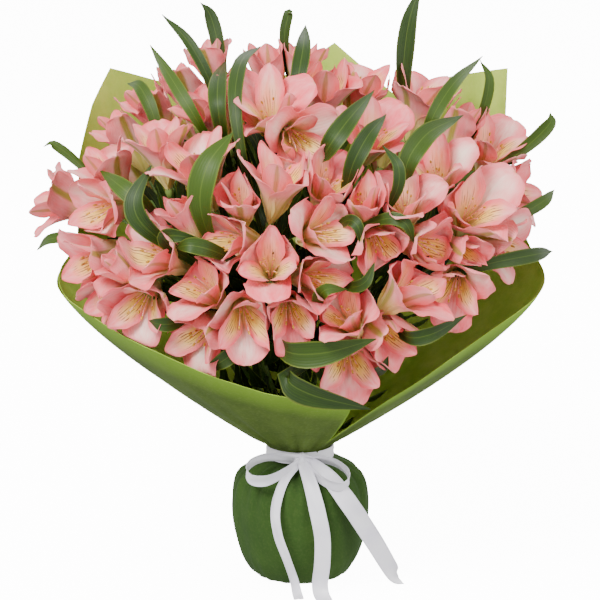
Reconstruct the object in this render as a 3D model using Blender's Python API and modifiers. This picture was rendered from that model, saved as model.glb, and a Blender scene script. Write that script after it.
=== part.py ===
"""Hand-tied bouquet of pink alstroemeria, spiralled stems in a green paper wrap with a white ribbon.

Sizes are in metres, +Z is up, and the bouquet stands on its wrapped foot with the origin at the centre
of the foot's flat underside. The side that faces the viewer is -Y, and it is lower than the back.

Each flower stem is two pieces of one plant: a green leafy stem, and the umbel of flowers on its end.
The flowers' places follow the photograph. A place is given as a pixel of its 600 x 600 frame, and the
sight line through that pixel meets the domed top of the bouquet at the flower.
"""

import itertools
import math
import random
from dataclasses import dataclass

import bmesh
import bpy
from mathutils import Vector
from mathutils.bvhtree import BVHTree

MM = 0.001

# The photograph's sight lines, with its scale taken at the bouquet's axis
FRAME_PX = 600
PIXEL = 0.9 * MM
EYE_DISTANCE = 3.0
EYE_ELEVATION = math.radians(15)
EYE_AIM = Vector((0, 0, 258 * MM))
LOOK = Vector((0, math.cos(EYE_ELEVATION), -math.sin(EYE_ELEVATION)))
PICTURE_RIGHT = Vector((1, 0, 0))
PICTURE_UP = Vector((0, math.sin(EYE_ELEVATION), math.cos(EYE_ELEVATION)))

# The domed top that the flowers' mouths lie on
DOME_CENTRE = Vector((-5, 20, 300)) * MM
DOME_HALF = Vector((214, 157, 155)) * MM

# Stems
TIE_HEIGHT = 118 * MM
STEM_RADIUS = 2.5 * MM
STEM_SPACING = 5.8 * MM
STEM_FOOT_HEIGHT = 1.6 * MM
STEM_FOOT_SPREAD = 2.1
STEM_SPIRAL = math.radians(38)

# Flowers
FLOWER_LENGTH = 66 * MM
MOUTH_SHARE = 0.72
PEDICEL_LENGTH = 34 * MM
HUB_TURN = 0.8
STEM_TURN = 0.3
PEDICEL_RADIUS = 1.3 * MM
OVARY_RADIUS = 3.4 * MM
NECK_LENGTH = 8 * MM
HUB_RADIUS = 2.8 * MM
TEPAL_THICKNESS = 1.3 * MM
OUTER_TEPAL_WIDTH = 35 * MM
INNER_TEPAL_WIDTH = 20 * MM
FULLNESS_STEPS = (1.0, 0.94, 0.88, 0.82, 0.75, 0.67, 0.58, 0.48, 0.38, 0.28)
OUTER_ROWS = (0.44, 0.8)
INNER_ROWS = (0.46, 0.76)
FLOWER_SPACING = 42 * MM
OUTWARD_TURN = 0.35
LOWEST_WAY = -0.3
CELL_MARGIN = 1.0 * MM
CELL_SOFTNESS = 4 * MM
INNER_MARGIN = 2.2 * MM

# Leaves
LEAF_THICKNESS = 1.3 * MM
LEAF_ROWS = (0.0, 0.4, 0.72)
LEAF_EMERGES_AT = 0.5
LEAF_KEEPS_OFF = 17 * MM
LEAF_SLIDE = (1.0, 0.36, 0.08, 0.0)
LEAF_BENDS = ((0.0, 1.0, 0.6, 0.0), (0.0, 0.6, 1.0, 1.0), (0.0, 1.0, 1.0, 0.5))

# Wrap and ribbon
PAPER = 0.8 * MM
WRAP_CLEARANCE = 1.2 * MM
NECK_TOP = 124 * MM
NECK_RADIUS = 27.2 * MM
FRONT_OUTSIDE = 1.75 * MM
WRAP_LEVELS = (113.2, 124, 146, 172, 202, 235, 262, 288, 340)
WRAP_STEP = 12
WING_TURNS = (-8, 184)
WING_REACH = 14 * MM
WING_SPREAD = 11
WALL_LEAN = 0.1
FLARE_HEIGHT = 165 * MM
FLARE_POWER = 1.43
FLARE_SIDE = 206 * MM
FLARE_BACK = 146 * MM
FLARE_FRONT = 178 * MM
RIBBON_WIDTH = 11 * MM
RIBBON_THICKNESS = 0.8 * MM
RIBBON_RADIUS = 30.4 * MM
TWINE_RADIUS = 1.6 * MM


@dataclass(frozen=True)
class Bloom:
    """A flower: the pixel its mouth is seen at, and where it points.

    heading is its direction in the picture in degrees, 0 to the right and 90 up; facing is 0 where it
    is seen from the side and 1 where it looks at the viewer; opening is 0 for a closed trumpet and 1
    for a wide flower; lift raises it off the dome.
    """

    seen_at: tuple
    heading: float
    facing: float
    opening: float = 0.8
    lift: float = 0.0
    size: float = 1.0


@dataclass(frozen=True)
class Leaf:
    """A leaf: the pixels where it comes out of the dome and where its tip is, with both heights."""

    emerges: tuple
    tip: tuple
    width: float = 15 * MM
    lift: float = 4 * MM
    tip_lift: float = 16 * MM
    roll: float = 0.0


@dataclass(frozen=True)
class Umbel:
    """One flowering stem: the flowers of its umbel, and the leaves of its whorl."""

    name: str
    blooms: tuple
    leaves: tuple = ()


UMBELS = (
    Umbel(
        "far_left",
        (
            Bloom((52, 198), 165, 0.1, 0.7),
            Bloom((93, 212), 205, 0.5, 0.9),
            Bloom((86, 266), 205, 0.4, 0.8),
            Bloom((120, 262), 125, 0.1, 0.1, 2 * MM, 0.8),
        ),
        (
            Leaf((74, 238), (44, 250), 10 * MM, -4 * MM, 6 * MM),
            Leaf((84, 168), (58, 157), 9 * MM),
        ),
    ),
    Umbel(
        "upper_left",
        (
            Bloom((104, 163), 105, 0.15, 0.5),
            Bloom((124, 124), 112, 0.1, 0.4),
            Bloom((158, 92), 115, 0.2, 0.6),
            Bloom((160, 140), 95, 0.1, 0.5, 3 * MM),
        ),
        (
            Leaf((145, 205), (108, 176), 17 * MM, 8 * MM, 10 * MM, 20),
            Leaf((156, 120), (134, 95), 13 * MM, 6 * MM, 12 * MM),
        ),
    ),
    Umbel(
        "top_left",
        (
            Bloom((181, 78), 105, 0.1, 0.5),
            Bloom((206, 66), 102, 0.1, 0.1, 0, 0.9),
            Bloom((231, 72), 88, 0.1, 0.5),
            Bloom((205, 104), 120, 0.3, 0.4),
        ),
        (
            Leaf((195, 120), (159, 68), 12 * MM, 10 * MM, 22 * MM),
            Leaf((212, 92), (170, 40), 11 * MM, 12 * MM, 24 * MM),
            Leaf((222, 62), (204, 20), 13 * MM, 8 * MM, 16 * MM),
            Leaf((221, 118), (229, 76), 17 * MM, 10 * MM, 14 * MM),
        ),
    ),
    Umbel(
        "left_middle",
        (
            Bloom((197, 160), 108, 0.25, 0.8, 6 * MM, 1.15),
            Bloom((182, 208), 115, 0.1, 0.2, 2 * MM, 0.85),
        ),
        (
            Leaf((148, 232), (160, 174), 19 * MM, 10 * MM, 16 * MM),
            Leaf((208, 205), (240, 147), 24 * MM, 8 * MM, 16 * MM),
            Leaf((170, 243), (206, 240), 15 * MM, 6 * MM, 12 * MM, 30),
        ),
    ),
    Umbel(
        "upper_middle",
        (
            Bloom((282, 172), 75, 0.2, 0.75, 6 * MM, 1.15),
            Bloom((245, 196), 88, 0.5, 0.4, 3 * MM, 0.9),
            Bloom((226, 236), 175, 0.4, 0.8),
        ),
        (
            Leaf((214, 250), (180, 248), 15 * MM, 6 * MM, 10 * MM),
            Leaf((238, 118), (262, 62), 14 * MM, 10 * MM, 14 * MM),
        ),
    ),
    Umbel(
        "lower_left",
        (
            Bloom((146, 250), 150, 0.45, 1.0, 4 * MM, 1.15),
            Bloom((142, 304), 250, 0.7, 0.9, 8 * MM),
            Bloom((104, 298), 210, 0.3, 0.6),
        ),
        (Leaf((176, 322), (151, 314), 13 * MM, 2 * MM, 8 * MM),),
    ),
    Umbel(
        "low_left_middle",
        (
            Bloom((205, 288), 125, 0.5, 0.9),
            Bloom((194, 334), 220, 0.5, 0.9, 4 * MM),
            Bloom((248, 316), 290, 0.65, 1.0, 5 * MM),
        ),
        (Leaf((235, 352), (205, 366), 15 * MM, 0.0, 6 * MM),),
    ),
    Umbel(
        "centre",
        (
            Bloom((275, 262), 90, 0.85, 1.0, 4 * MM),
            Bloom((290, 305), 285, 0.75, 0.8, 2 * MM, 0.95),
            Bloom((312, 275), 5, 0.55, 0.8),
        ),
        (Leaf((292, 346), (371, 329), 24 * MM, 10 * MM, 18 * MM),),
    ),
    Umbel(
        "top_middle",
        (
            Bloom((269, 107), 95, 0.85, 1.0, 7 * MM, 1.1),
            Bloom((303, 142), 310, 0.7, 0.9),
            Bloom((272, 62), 95, 0.1, 0.3),
        ),
        (Leaf((297, 92), (305, 43), 15 * MM, 10 * MM, 16 * MM),),
    ),
    Umbel(
        "top_right_middle",
        (
            Bloom((325, 80), 85, 0.4, 0.7, 0, 1.1),
            Bloom((298, 60), 88, 0.1, 0.2, 0, 0.9),
            Bloom((365, 80), 72, 0.4, 0.7),
        ),
        (
            Leaf((327, 156), (369, 108), 19 * MM, 12 * MM, 18 * MM),
            Leaf((292, 50), (291, 27), 10 * MM, 8 * MM, 10 * MM),
        ),
    ),
    Umbel(
        "right_middle",
        (
            Bloom((328, 176), 60, 0.55, 0.9, 3 * MM),
            Bloom((378, 126), 70, 0.7, 0.8),
            Bloom((364, 196), 105, 0.4, 0.4, 2 * MM, 0.9),
        ),
        (
            Leaf((350, 172), (381, 128), 17 * MM, 12 * MM, 16 * MM),
            Leaf((391, 197), (377, 157), 11 * MM, 12 * MM, 18 * MM),
        ),
    ),
    Umbel(
        "middle_right",
        (
            Bloom((327, 238), 20, 0.65, 1.0, 5 * MM),
            Bloom((383, 246), 285, 0.4, 0.5),
        ),
        (
            Leaf((352, 286), (372, 262), 11 * MM, 2 * MM, 8 * MM),
            Leaf((380, 222), (409, 244), 12 * MM, 12 * MM, 12 * MM),
            Leaf((346, 222), (362, 250), 11 * MM, 4 * MM, 6 * MM),
        ),
    ),
    Umbel(
        "top_right",
        (
            Bloom((424, 92), 68, 0.35, 0.8, 3 * MM, 1.1),
            Bloom((462, 118), 75, 0.2, 0.4, 0, 0.95),
            Bloom((494, 146), 80, 0.75, 1.0, 3 * MM),
        ),
        (
            Leaf((398, 94), (416, 1), 17 * MM, 8 * MM, 14 * MM),
            Leaf((424, 134), (474, 72), 13 * MM, 12 * MM, 16 * MM),
            Leaf((478, 118), (476, 68), 11 * MM, 4 * MM, 8 * MM),
            Leaf((522, 150), (541, 122), 13 * MM, 4 * MM, 12 * MM),
        ),
    ),
    Umbel(
        "far_right",
        (
            Bloom((470, 206), 80, 0.85, 1.0, 7 * MM, 1.2),
            Bloom((437, 166), 115, 0.7, 0.9),
            Bloom((519, 182), 5, 0.35, 0.8),
            Bloom((507, 242), 345, 0.3, 0.7),
        ),
        (
            Leaf((516, 216), (542, 195), 12 * MM, 2 * MM, 12 * MM),
            Leaf((402, 172), (452, 131), 20 * MM, 12 * MM, 18 * MM),
        ),
    ),
    Umbel(
        "right_star",
        (
            Bloom((404, 204), 105, 0.5, 1.0, 4 * MM),
            Bloom((430, 238), 345, 0.45, 0.9, 2 * MM),
        ),
    ),
    Umbel(
        "lower_right",
        (
            Bloom((420, 278), 45, 0.25, 0.9, 5 * MM, 1.15),
            Bloom((452, 292), 235, 0.7, 0.9),
            Bloom((466, 254), 290, 0.4, 0.2, 2 * MM, 0.8),
        ),
        (
            Leaf((488, 262), (566, 251), 14 * MM, 6 * MM, 10 * MM),
            Leaf((406, 332), (456, 308), 15 * MM, 8 * MM, 16 * MM),
        ),
    ),
    Umbel(
        "low_front",
        (
            Bloom((342, 308), 120, 0.5, 0.7),
            Bloom((388, 338), 300, 0.4, 0.6),
            Bloom((350, 364), 275, 0.8, 1.0, 3 * MM),
        ),
        (
            Leaf((290, 385), (366, 409), 30 * MM, 2 * MM, 8 * MM, 10),
            Leaf((318, 300), (346, 288), 12 * MM, 2 * MM, 6 * MM),
            Leaf((372, 372), (386, 352), 11 * MM, 0.0, 6 * MM),
        ),
    ),
)

# Three umbels that the photograph hides, on the dome's far side: the turn round the axis, and the
# slope of each flower's place above the dome's middle, in degrees
BACK_UMBELS = (
    ("back_left", ((142, 52), (160, 34), (128, 30))),
    ("back_middle", ((98, 58), (108, 36), (80, 38))),
    ("back_right", ((44, 50), (36, 30), (58, 28))),
)

# Rim heights round the bouquet, in degrees from +X towards the back and in millimetres
BACK_RIM = (
    (-59, 128), (-44, 186), (-31, 226), (-14, 266), (-6, 280), (8, 300), (20, 326), (23, 345),
    (25, 453), (42, 438), (60, 418), (79, 462), (92, 436), (108, 412), (128, 424), (149, 450),
    (156, 420), (163, 375), (168, 298), (176, 286), (186, 268), (204, 246),
)  # fmt: skip
FRONT_RIM = (
    (168, 288), (176, 283), (186, 271), (204, 254), (223, 243), (241, 220), (254, 208), (267, 201),
    (284, 192), (295, 187), (301, 130),
)  # fmt: skip

FOOT_PROFILE = (
    (0, 0), (42, 0), (49, 6), (56, 26), (60.5, 52), (60.5, 76), (55, 94), (43, 104), (30, 109.5),
    (26.8, 112.5), (26.8, 128),
)  # fmt: skip
FOOT_PLEATS = 6
FOOT_PLEAT_DEPTH = 1.1 * MM
FOOT_SIDES = 18


def sight_line(pixel):
    """The eye and the direction of the sight line through a pixel of the photograph."""
    across, down = pixel
    eye = EYE_AIM - LOOK * EYE_DISTANCE
    slope = PIXEL / EYE_DISTANCE
    half = FRAME_PX / 2
    ray = LOOK + PICTURE_RIGHT * (across - half) * slope + PICTURE_UP * (half - down) * slope
    return eye, ray.normalized()


def squeezed(vector):
    """A vector in the dome's own measure, in which the dome is a unit sphere."""
    return Vector((vector.x / DOME_HALF.x, vector.y / DOME_HALF.y, vector.z / DOME_HALF.z))


def dome_normal(point):
    """The way out of the dome at a point."""
    out = squeezed(squeezed(point - DOME_CENTRE))
    return out.normalized()


def on_dome(pixel, lift=0.0):
    """The point that a pixel sees on the dome, raised by lift, or the point that passes nearest."""
    eye, ray = sight_line(pixel)
    start, way = squeezed(eye - DOME_CENTRE), squeezed(ray)
    a, b, c = way.dot(way), start.dot(way), start.dot(start) - 1
    inside = max(b * b - a * c, 0.0)
    point = eye + ray * ((-b - math.sqrt(inside)) / a)
    return point + dome_normal(point) * lift


def pointing(bloom, mouth):
    """The direction of a flower that the photograph shows, turned a little towards the dome's outside."""
    turn = math.radians(bloom.heading)
    in_picture = PICTURE_RIGHT * math.cos(turn) + PICTURE_UP * math.sin(turn)
    seen = in_picture * math.sqrt(1 - bloom.facing**2) - LOOK * bloom.facing
    way = seen + dome_normal(mouth) * OUTWARD_TURN
    way.z = max(way.z, LOWEST_WAY)
    return way.normalized()


def hidden_bloom(turn, slope):
    """The mouth and direction of a flower on the dome's far side."""
    around, above = math.radians(turn), math.radians(slope)
    ball = Vector((math.cos(around) * math.cos(above), math.sin(around) * math.cos(above), math.sin(above)))
    inset = 0.9
    mouth = DOME_CENTRE + Vector(a * b * inset for a, b in zip(ball, DOME_HALF))
    return mouth, (dome_normal(mouth) + Vector((0, 0, 0.6))).normalized()


@dataclass
class Flower:
    """A flower in its place: its mouth, direction, opening and length, and the umbel it grows on."""

    mouth: Vector
    way: Vector
    opening: float
    length: float
    umbel: int
    seed: int

    @property
    def base(self):
        """Where the tepals leave the ovary."""
        return self.mouth - self.way * self.length * MOUTH_SHARE

    @property
    def heart(self):
        """The middle of the flower's bulk, which its room is measured from."""
        return self.mouth - self.way * self.length * 0.2

    @property
    def reach(self):
        """How much room the flower asks for, against its neighbours."""
        return self.length * (0.6 + 0.4 * self.opening)


def placed_flowers():
    """Every flower of the bouquet, moved apart where two stand too close."""
    flowers = []
    for number, umbel in enumerate(UMBELS):
        for place, bloom in enumerate(umbel.blooms):
            mouth = on_dome(bloom.seen_at, bloom.lift)
            length = FLOWER_LENGTH * bloom.size
            seed = 100 * number + 10 * place
            flowers.append(Flower(mouth, pointing(bloom, mouth), bloom.opening, length, number, seed))
    for number, (_, places) in enumerate(BACK_UMBELS, len(UMBELS)):
        for place, (turn, slope) in enumerate(places):
            mouth, way = hidden_bloom(turn, slope)
            seed = 100 * number + 10 * place
            flowers.append(Flower(mouth, way, 0.7, FLOWER_LENGTH, number, seed))
    move_apart(flowers)
    for flower in flowers:
        base = held_inside(flower.base, WRAP_CLEARANCE + 2 * OVARY_RADIUS)
        flower.way = (flower.mouth - base).normalized()
    return flowers


def move_apart(flowers):
    """Pushes flowers that are closer than their spacing away from each other, a little at a time."""
    for _ in range(30):
        for i, one in enumerate(flowers):
            for other in flowers[i + 1 :]:
                gap = one.heart - other.heart
                wanted = FLOWER_SPACING * (one.reach + other.reach) / (2 * FLOWER_LENGTH)
                if 1e-6 < gap.length < wanted:
                    push = gap.normalized() * (wanted - gap.length) * 0.25
                    one.mouth += push
                    other.mouth -= push


def room_of(flower, flowers, leaves):
    """The planes that bound a flower's room, as (point on the plane, normal away from the flower)."""
    planes = []
    for other in flowers:
        gap = other.heart - flower.heart
        if other is flower or gap.length > flower.reach + other.reach:
            continue
        share = flower.reach / (flower.reach + other.reach)
        planes.append((flower.heart + gap * share, gap.normalized()))
    for leaf in leaves:
        for point in leaf.line[1:]:
            gap = point - flower.heart
            if gap.length < flower.length * 0.75:
                room = max(gap.length - LEAF_THICKNESS, LEAF_KEEPS_OFF * 0.9)
                planes.append((flower.heart + gap.normalized() * room, gap.normalized()))
    return planes


def bent_clear(point, planes, way, margin):
    """A point of a tepal, bent back smoothly so that it stays inside the flower's room and the wrap."""
    for lean in (0.5, 0.25, 0.0):
        for on_plane, normal in planes:
            beyond = (point - on_plane).dot(normal) + margin + CELL_SOFTNESS
            if beyond > 0:
                back = beyond - CELL_SOFTNESS * (1 - math.exp(-beyond / CELL_SOFTNESS))
                along = way - normal * way.dot(normal)
                point = point - normal * back + along * back * lean
    return held_inside(point, WRAP_CLEARANCE + margin)


def held_inside(point, clearance):
    """A point moved in smoothly towards the bouquet's axis where it would come near the paper."""
    turn = math.degrees(math.atan2(point.y, point.x))
    above_rim = max(point.z - wrap_rim(turn) + 4 * MM, 0.0)
    room = flare_radius(turn, point.z) - clearance + above_rim * 1.5
    radius = math.hypot(point.x, point.y)
    beyond = radius - room + CELL_SOFTNESS
    if beyond <= 0:
        return point
    kept = 1 - (beyond - CELL_SOFTNESS * (1 - math.exp(-beyond / CELL_SOFTNESS))) / radius
    return Vector((point.x * kept, point.y * kept, point.z))


def outer_shape(u):
    """Width of an outer tepal along its length, as a share of its widest."""
    widest = 0.68
    if u < widest:
        x = u / widest
        return 0.1 + 0.9 * x**1.1 * (2 - x) ** 1.1
    return max(1 - ((u - widest) / (1 - widest)) ** 2.4, 0.0) ** 0.62


def inner_shape(u):
    """Width of an inner tepal along its length, as a share of its widest."""
    widest = 0.66
    if u < widest:
        x = u / widest
        return 0.12 + 0.88 * x * x * (3 - 2 * x)
    return max(1 - ((u - widest) / (1 - widest)) ** 1.9, 0.0) ** 0.8


class Tepal:
    """The middle surface of one tepal, by its share along the length and across the width.

    The six tepals stand round the flower at 30, 90, 150 degrees and so on. Those at 90, 210 and 330
    degrees are the broad outer ones, and the narrow inner ones stand between and inside them.
    """

    STEPS = 20

    def __init__(self, flower, number, planes, narrowing):
        draw = random.Random(flower.seed + number)
        outer = number % 2 == 1
        self.flower = flower
        self.planes = planes
        self.margin = CELL_MARGIN if outer else CELL_MARGIN + INNER_MARGIN
        self.rows = OUTER_ROWS if outer else INNER_ROWS
        self.shape = outer_shape if outer else inner_shape
        scale = flower.length / FLOWER_LENGTH * draw.uniform(0.94, 1.06)
        self.width = (OUTER_TEPAL_WIDTH if outer else INNER_TEPAL_WIDTH) * scale * narrowing
        self.length = flower.length * (0.94 if outer else 0.97) * draw.uniform(0.96, 1.04)
        self.start_slope = math.radians(19 if outer else 11)
        flare = (58 if outer else 42) * flower.opening + (17 if outer else 9)
        self.end_slope = math.radians(flare) * draw.uniform(0.9, 1.1)
        self.start_radius = 2.2 * MM
        self.turn = math.radians(30 + 60 * number)
        side, up = flower_frame(flower)
        turn = self.turn + draw.uniform(-0.05, 0.05)
        self.out = side * math.cos(turn) + up * math.sin(turn)
        self.across = flower.way.cross(self.out)

    def midrib(self, u):
        """Distance along the flower and out from its axis at a share of the tepal's length."""
        along, out = 0.0, self.start_radius
        for step in range(self.STEPS):
            share = (step + 0.5) / self.STEPS * u
            slope = self.start_slope + (self.end_slope - self.start_slope) * share**1.8
            along += math.cos(slope) * self.length * u / self.STEPS
            out += math.sin(slope) * self.length * u / self.STEPS
        return along, out

    def point(self, u, v):
        """The place at a share u of the length and v of the half width, bent clear of neighbours."""
        along, out = self.midrib(u)
        offset = v * self.width * self.shape(u) / 2
        cup = max(out, self.width * 0.3) * (1 + 2.0 * self.flower.opening * u * u)
        swing = max(-1.0, min(1.0, offset / cup))
        place = self.flower.base + self.flower.way * along
        place += self.out * (out - cup * (1 - math.cos(swing))) + self.across * cup * math.sin(swing)
        free = min(u / 0.35, 1.0)
        bent = bent_clear(place, self.planes, self.flower.way, self.margin)
        return place.lerp(bent, free * free * (3 - 2 * free))

    def section(self, u):
        """The row of the tepal at a share of its length: left edge, inner ridge, right edge, outer keel."""
        ridge = self.point(u, 0)
        lengthwise = self.point(u + 0.02, 0) - ridge
        inward = lengthwise.cross(self.point(u, 0.2) - self.point(u, -0.2)).normalized()
        half = inward * TEPAL_THICKNESS / 2
        return self.point(u, -1), ridge + half, self.point(u, 1), ridge - half


def flower_frame(flower):
    """The two directions across a flower that its tepals are turned from: to its side, and up."""
    side = sideways(flower.way)
    return side, flower.way.cross(side)


def sideways(way):
    """A level direction square to a flower's way, or square to the picture where it points straight up."""
    level = way.cross(Vector((0, 0, 1)))
    if level.length < 0.2:
        level = PICTURE_RIGHT - way * way.dot(PICTURE_RIGHT)
    return level.normalized()


def new_object(name, mesh, collection):
    """An object for a mesh, in a collection."""
    made = bpy.data.objects.new(name, mesh)
    collection.objects.link(made)
    return made


def mesh_of(name, work):
    """A mesh from a bmesh, with its faces turned outwards."""
    bmesh.ops.recalc_face_normals(work, faces=work.faces)
    mesh = bpy.data.meshes.new(name)
    work.to_mesh(mesh)
    work.free()
    return mesh


def blade(name, rows, tip):
    """A thin closed blade. Each row is its left edge, ridge above, right edge and ridge below.

    Both faces are split along the same diagonals, so that they never cross where the blade is twisted.
    """
    work = bmesh.new()
    rings = [add_verts(work, row) for row in rows]
    first = rings[0]
    work.faces.new((first[0], first[1], first[2]))
    work.faces.new((first[0], first[2], first[3]))
    for here, ahead in zip(rings, rings[1:]):
        add_strip(work, here, ahead)
    add_tip(work, rings[-1], tip)
    return mesh_of(name, work)


def tube(name, points, radii, sides=4):
    """A closed round tube along points, with its own radius at each."""
    curve = bpy.data.curves.new(name, "CURVE")
    curve.dimensions = "3D"
    curve.bevel_depth = 1.0
    curve.bevel_resolution = (sides - 4) // 2
    curve.use_fill_caps = True
    spline = curve.splines.new("POLY")
    spline.points.add(len(points) - 1)
    for knot, place, radius in zip(spline.points, points, radii):
        knot.co = (*place, 1)
        knot.radius = radius
    holder = bpy.data.objects.new(name, curve)
    bpy.context.scene.collection.objects.link(holder)
    graph = bpy.context.evaluated_depsgraph_get()
    mesh = bpy.data.meshes.new_from_object(holder.evaluated_get(graph))
    bpy.data.objects.remove(holder)
    work = bmesh.new()
    work.from_mesh(mesh)
    bmesh.ops.remove_doubles(work, verts=work.verts, dist=0.01 * MM)
    return mesh_of(name, work)


def joined(name, meshes, collection):
    """One object that is the union of closed meshes."""
    whole = new_object(name, meshes[0], collection)
    if len(meshes) == 1:
        return whole
    extra = bpy.data.collections.new(name + "_joins")
    bpy.context.scene.collection.children.link(extra)
    for mesh in meshes[1:]:
        new_object(mesh.name, mesh, extra)
    union = whole.modifiers.new("join", "BOOLEAN")
    union.operation = "UNION"
    union.operand_type = "COLLECTION"
    union.collection = extra
    union.solver = "MANIFOLD"
    apply_modifiers(whole)
    for piece in list(extra.objects):
        bpy.data.objects.remove(piece)
    bpy.data.collections.remove(extra)
    keep_main_body(whole)
    return whole


def apply_modifiers(made):
    """Replaces an object's mesh with the one that its modifiers make."""
    bpy.context.view_layer.update()
    graph = bpy.context.evaluated_depsgraph_get()
    mesh = bpy.data.meshes.new_from_object(made.evaluated_get(graph))
    made.modifiers.clear()
    made.data = mesh


def bodies_of(work):
    """The separate bodies of a bmesh, as lists of faces."""
    left = set(work.faces)
    bodies = []
    while left:
        reached = [left.pop()]
        for face in reached:
            for edge in face.edges:
                for near in edge.link_faces:
                    if near in left:
                        left.remove(near)
                        reached.append(near)
        bodies.append(reached)
    return bodies


def is_closed(work):
    """Whether every edge of a bmesh lies between two faces."""
    return all(len(edge.link_faces) == 2 for edge in work.edges)


def keep_main_body(made):
    """Drops loose scraps and needless vertices from an object's mesh, and returns its volume."""
    work = bmesh.new()
    work.from_mesh(made.data)
    tidy = work.copy()
    bmesh.ops.dissolve_limit(tidy, angle_limit=math.radians(0.5), verts=tidy.verts, edges=tidy.edges)
    if is_closed(tidy):
        work, tidy = tidy, work
    tidy.free()
    bmesh.ops.triangulate(work, faces=work.faces)
    bodies = sorted(bodies_of(work), key=body_volume)
    scraps = [face for body in bodies[:-1] for face in body]
    bmesh.ops.delete(work, geom=scraps, context="FACES")
    volume = work.calc_volume() if is_closed(work) else 0.0
    work.to_mesh(made.data)
    work.free()
    return volume


def body_volume(faces):
    """The volume inside a closed body of triangles."""
    corners = ([loop.vert.co for loop in face.loops] for face in faces)
    return sum(a.dot(b.cross(c)) for a, b, c in corners) / 6


def umbel_hub(flowers):
    """The point behind an umbel's flowers that their stalks spread from, and the way the stem comes."""
    necks = [flower.base - flower.way * NECK_LENGTH for flower in flowers]
    middle = sum(necks, Vector()) / len(necks)
    rising = (middle - Vector((0, 0, TIE_HEIGHT))).normalized()
    facing = sum((flower.way for flower in flowers), Vector()).normalized()
    spread = (rising + facing * HUB_TURN).normalized()
    hub = held_inside(middle - spread * PEDICEL_LENGTH, 9 * MM)
    return hub, (rising + facing * STEM_TURN).normalized()


def ring(place, side, up, radius, count):
    """Points round a place, in the plane of its two directions."""
    turns = [2 * math.pi * n / count for n in range(count)]
    return [place + (side * math.cos(turn) + up * math.sin(turn)) * radius for turn in turns]


def add_verts(work, points):
    """A vertex of the mesh for every point."""
    return [work.verts.new(point) for point in points]


def add_strip(work, here, ahead):
    """Faces of a blade between two rows, split along the same diagonals above and below."""
    for edge in (0, 2):
        for ridge in (1, 3):
            work.faces.new((here[edge], here[ridge], ahead[ridge]))
            work.faces.new((here[edge], ahead[ridge], ahead[edge]))


def add_tip(work, row, tip):
    """Faces that close a blade in a point."""
    point = work.verts.new(tip)
    for side in range(4):
        work.faces.new((row[side], row[(side + 1) % 4], point))


def stalk_rings(work, flower, hub, sway):
    """The slim stalk of a flower, from the hub to under its ovary, as a tube of three sides."""
    neck = flower.base - flower.way * NECK_LENGTH
    places = [hub, (hub + neck) / 2 + sway, neck] if sway.length > 0 else [hub, neck]
    places = [held_inside(place, WRAP_CLEARANCE + PEDICEL_RADIUS) for place in places]
    side, _ = flower_frame(flower)
    rings = []
    for n in range(len(places) - 1, -1, -1):
        along = (places[min(n + 1, len(places) - 1)] - places[max(n - 1, 0)]).normalized()
        if n == len(places) - 1:
            along = (along + flower.way).normalized()
        side = (side - along * side.dot(along)).normalized()
        rings.append(add_verts(work, ring(places[n], side, along.cross(side), PEDICEL_RADIUS, 3)))
    for here, ahead in zip(rings, rings[1:]):
        for n in range(3):
            work.faces.new((here[n], here[(n + 1) % 3], ahead[(n + 1) % 3]))
            work.faces.new((here[n], ahead[(n + 1) % 3], ahead[n]))
    work.faces.new(rings[-1])
    return rings[0]


def shaped_flower(flower, hub, planes, sway, narrowing):
    """One flower as a closed mesh: stalk, ovary and six tepals that grow out of the ovary's rim."""
    work = bmesh.new()
    side, up = flower_frame(flower)
    neck = stalk_rings(work, flower, hub, sway)
    waist = add_verts(work, ring(flower.base - flower.way * 2 * MM, side, up, OVARY_RADIUS, 6))
    top = flower.base + flower.way * 3 * MM
    corners = add_verts(work, ring(top, side, up, OVARY_RADIUS, 6))
    for n in range(3):
        work.faces.new((neck[n], waist[2 * n], waist[2 * n + 1]))
        work.faces.new((neck[n], waist[2 * n + 1], neck[(n + 1) % 3]))
        work.faces.new((neck[(n + 1) % 3], waist[2 * n + 1], waist[(2 * n + 2) % 6]))
    mouth = []
    for n in range(6):
        tepal = Tepal(flower, n, planes, narrowing)
        out = side * math.cos(tepal.turn) + up * math.sin(tepal.turn)
        inner = work.verts.new(top + out * OVARY_RADIUS * 0.55)
        keel = work.verts.new(top + out * OVARY_RADIUS * 1.0)
        left, right = corners[n], corners[(n + 1) % 6]
        work.faces.new((waist[n], keel, left))
        work.faces.new((waist[n], waist[(n + 1) % 6], keel))
        work.faces.new((waist[(n + 1) % 6], right, keel))
        rows = [[left, inner, right, keel]] + [add_verts(work, tepal.section(u)) for u in tepal.rows]
        for here, ahead in zip(rows, rows[1:]):
            add_strip(work, here, ahead)
        add_tip(work, rows[-1], tepal.point(1.0, 0))
        mouth += [left, inner]
    work.faces.new(mouth)
    return mesh_of("flower", work)


def crosses_itself(mesh):
    """Whether two faces of a mesh that share no corner cross."""
    mesh.calc_loop_triangles()
    faces = [tuple(triangle.vertices) for triangle in mesh.loop_triangles]
    tree = BVHTree.FromPolygons([vert.co for vert in mesh.vertices], faces)
    return any(not set(faces[a]) & set(faces[b]) for a, b in tree.overlap(tree))


def flower_mesh(flower, hub, planes, crowd, owner):
    """A flower as broad and as open as it can be without touching itself or its neighbours."""
    opening, length, way = flower.opening, flower.length, flower.way
    for fullness, lean, sway in flower_trials(flower):
        flower.opening = opening * fullness
        flower.length = length * (0.7 + 0.3 * min(fullness / 0.7, 1.0))
        flower.way = (way + lean).normalized()
        mesh = shaped_flower(flower, hub, planes, sway, 0.25 + 0.75 * fullness)
        if not crosses_itself(mesh) and not crowd.crosses(mesh, owner):
            crowd.add(mesh, owner)
            return mesh
    return None


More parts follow.
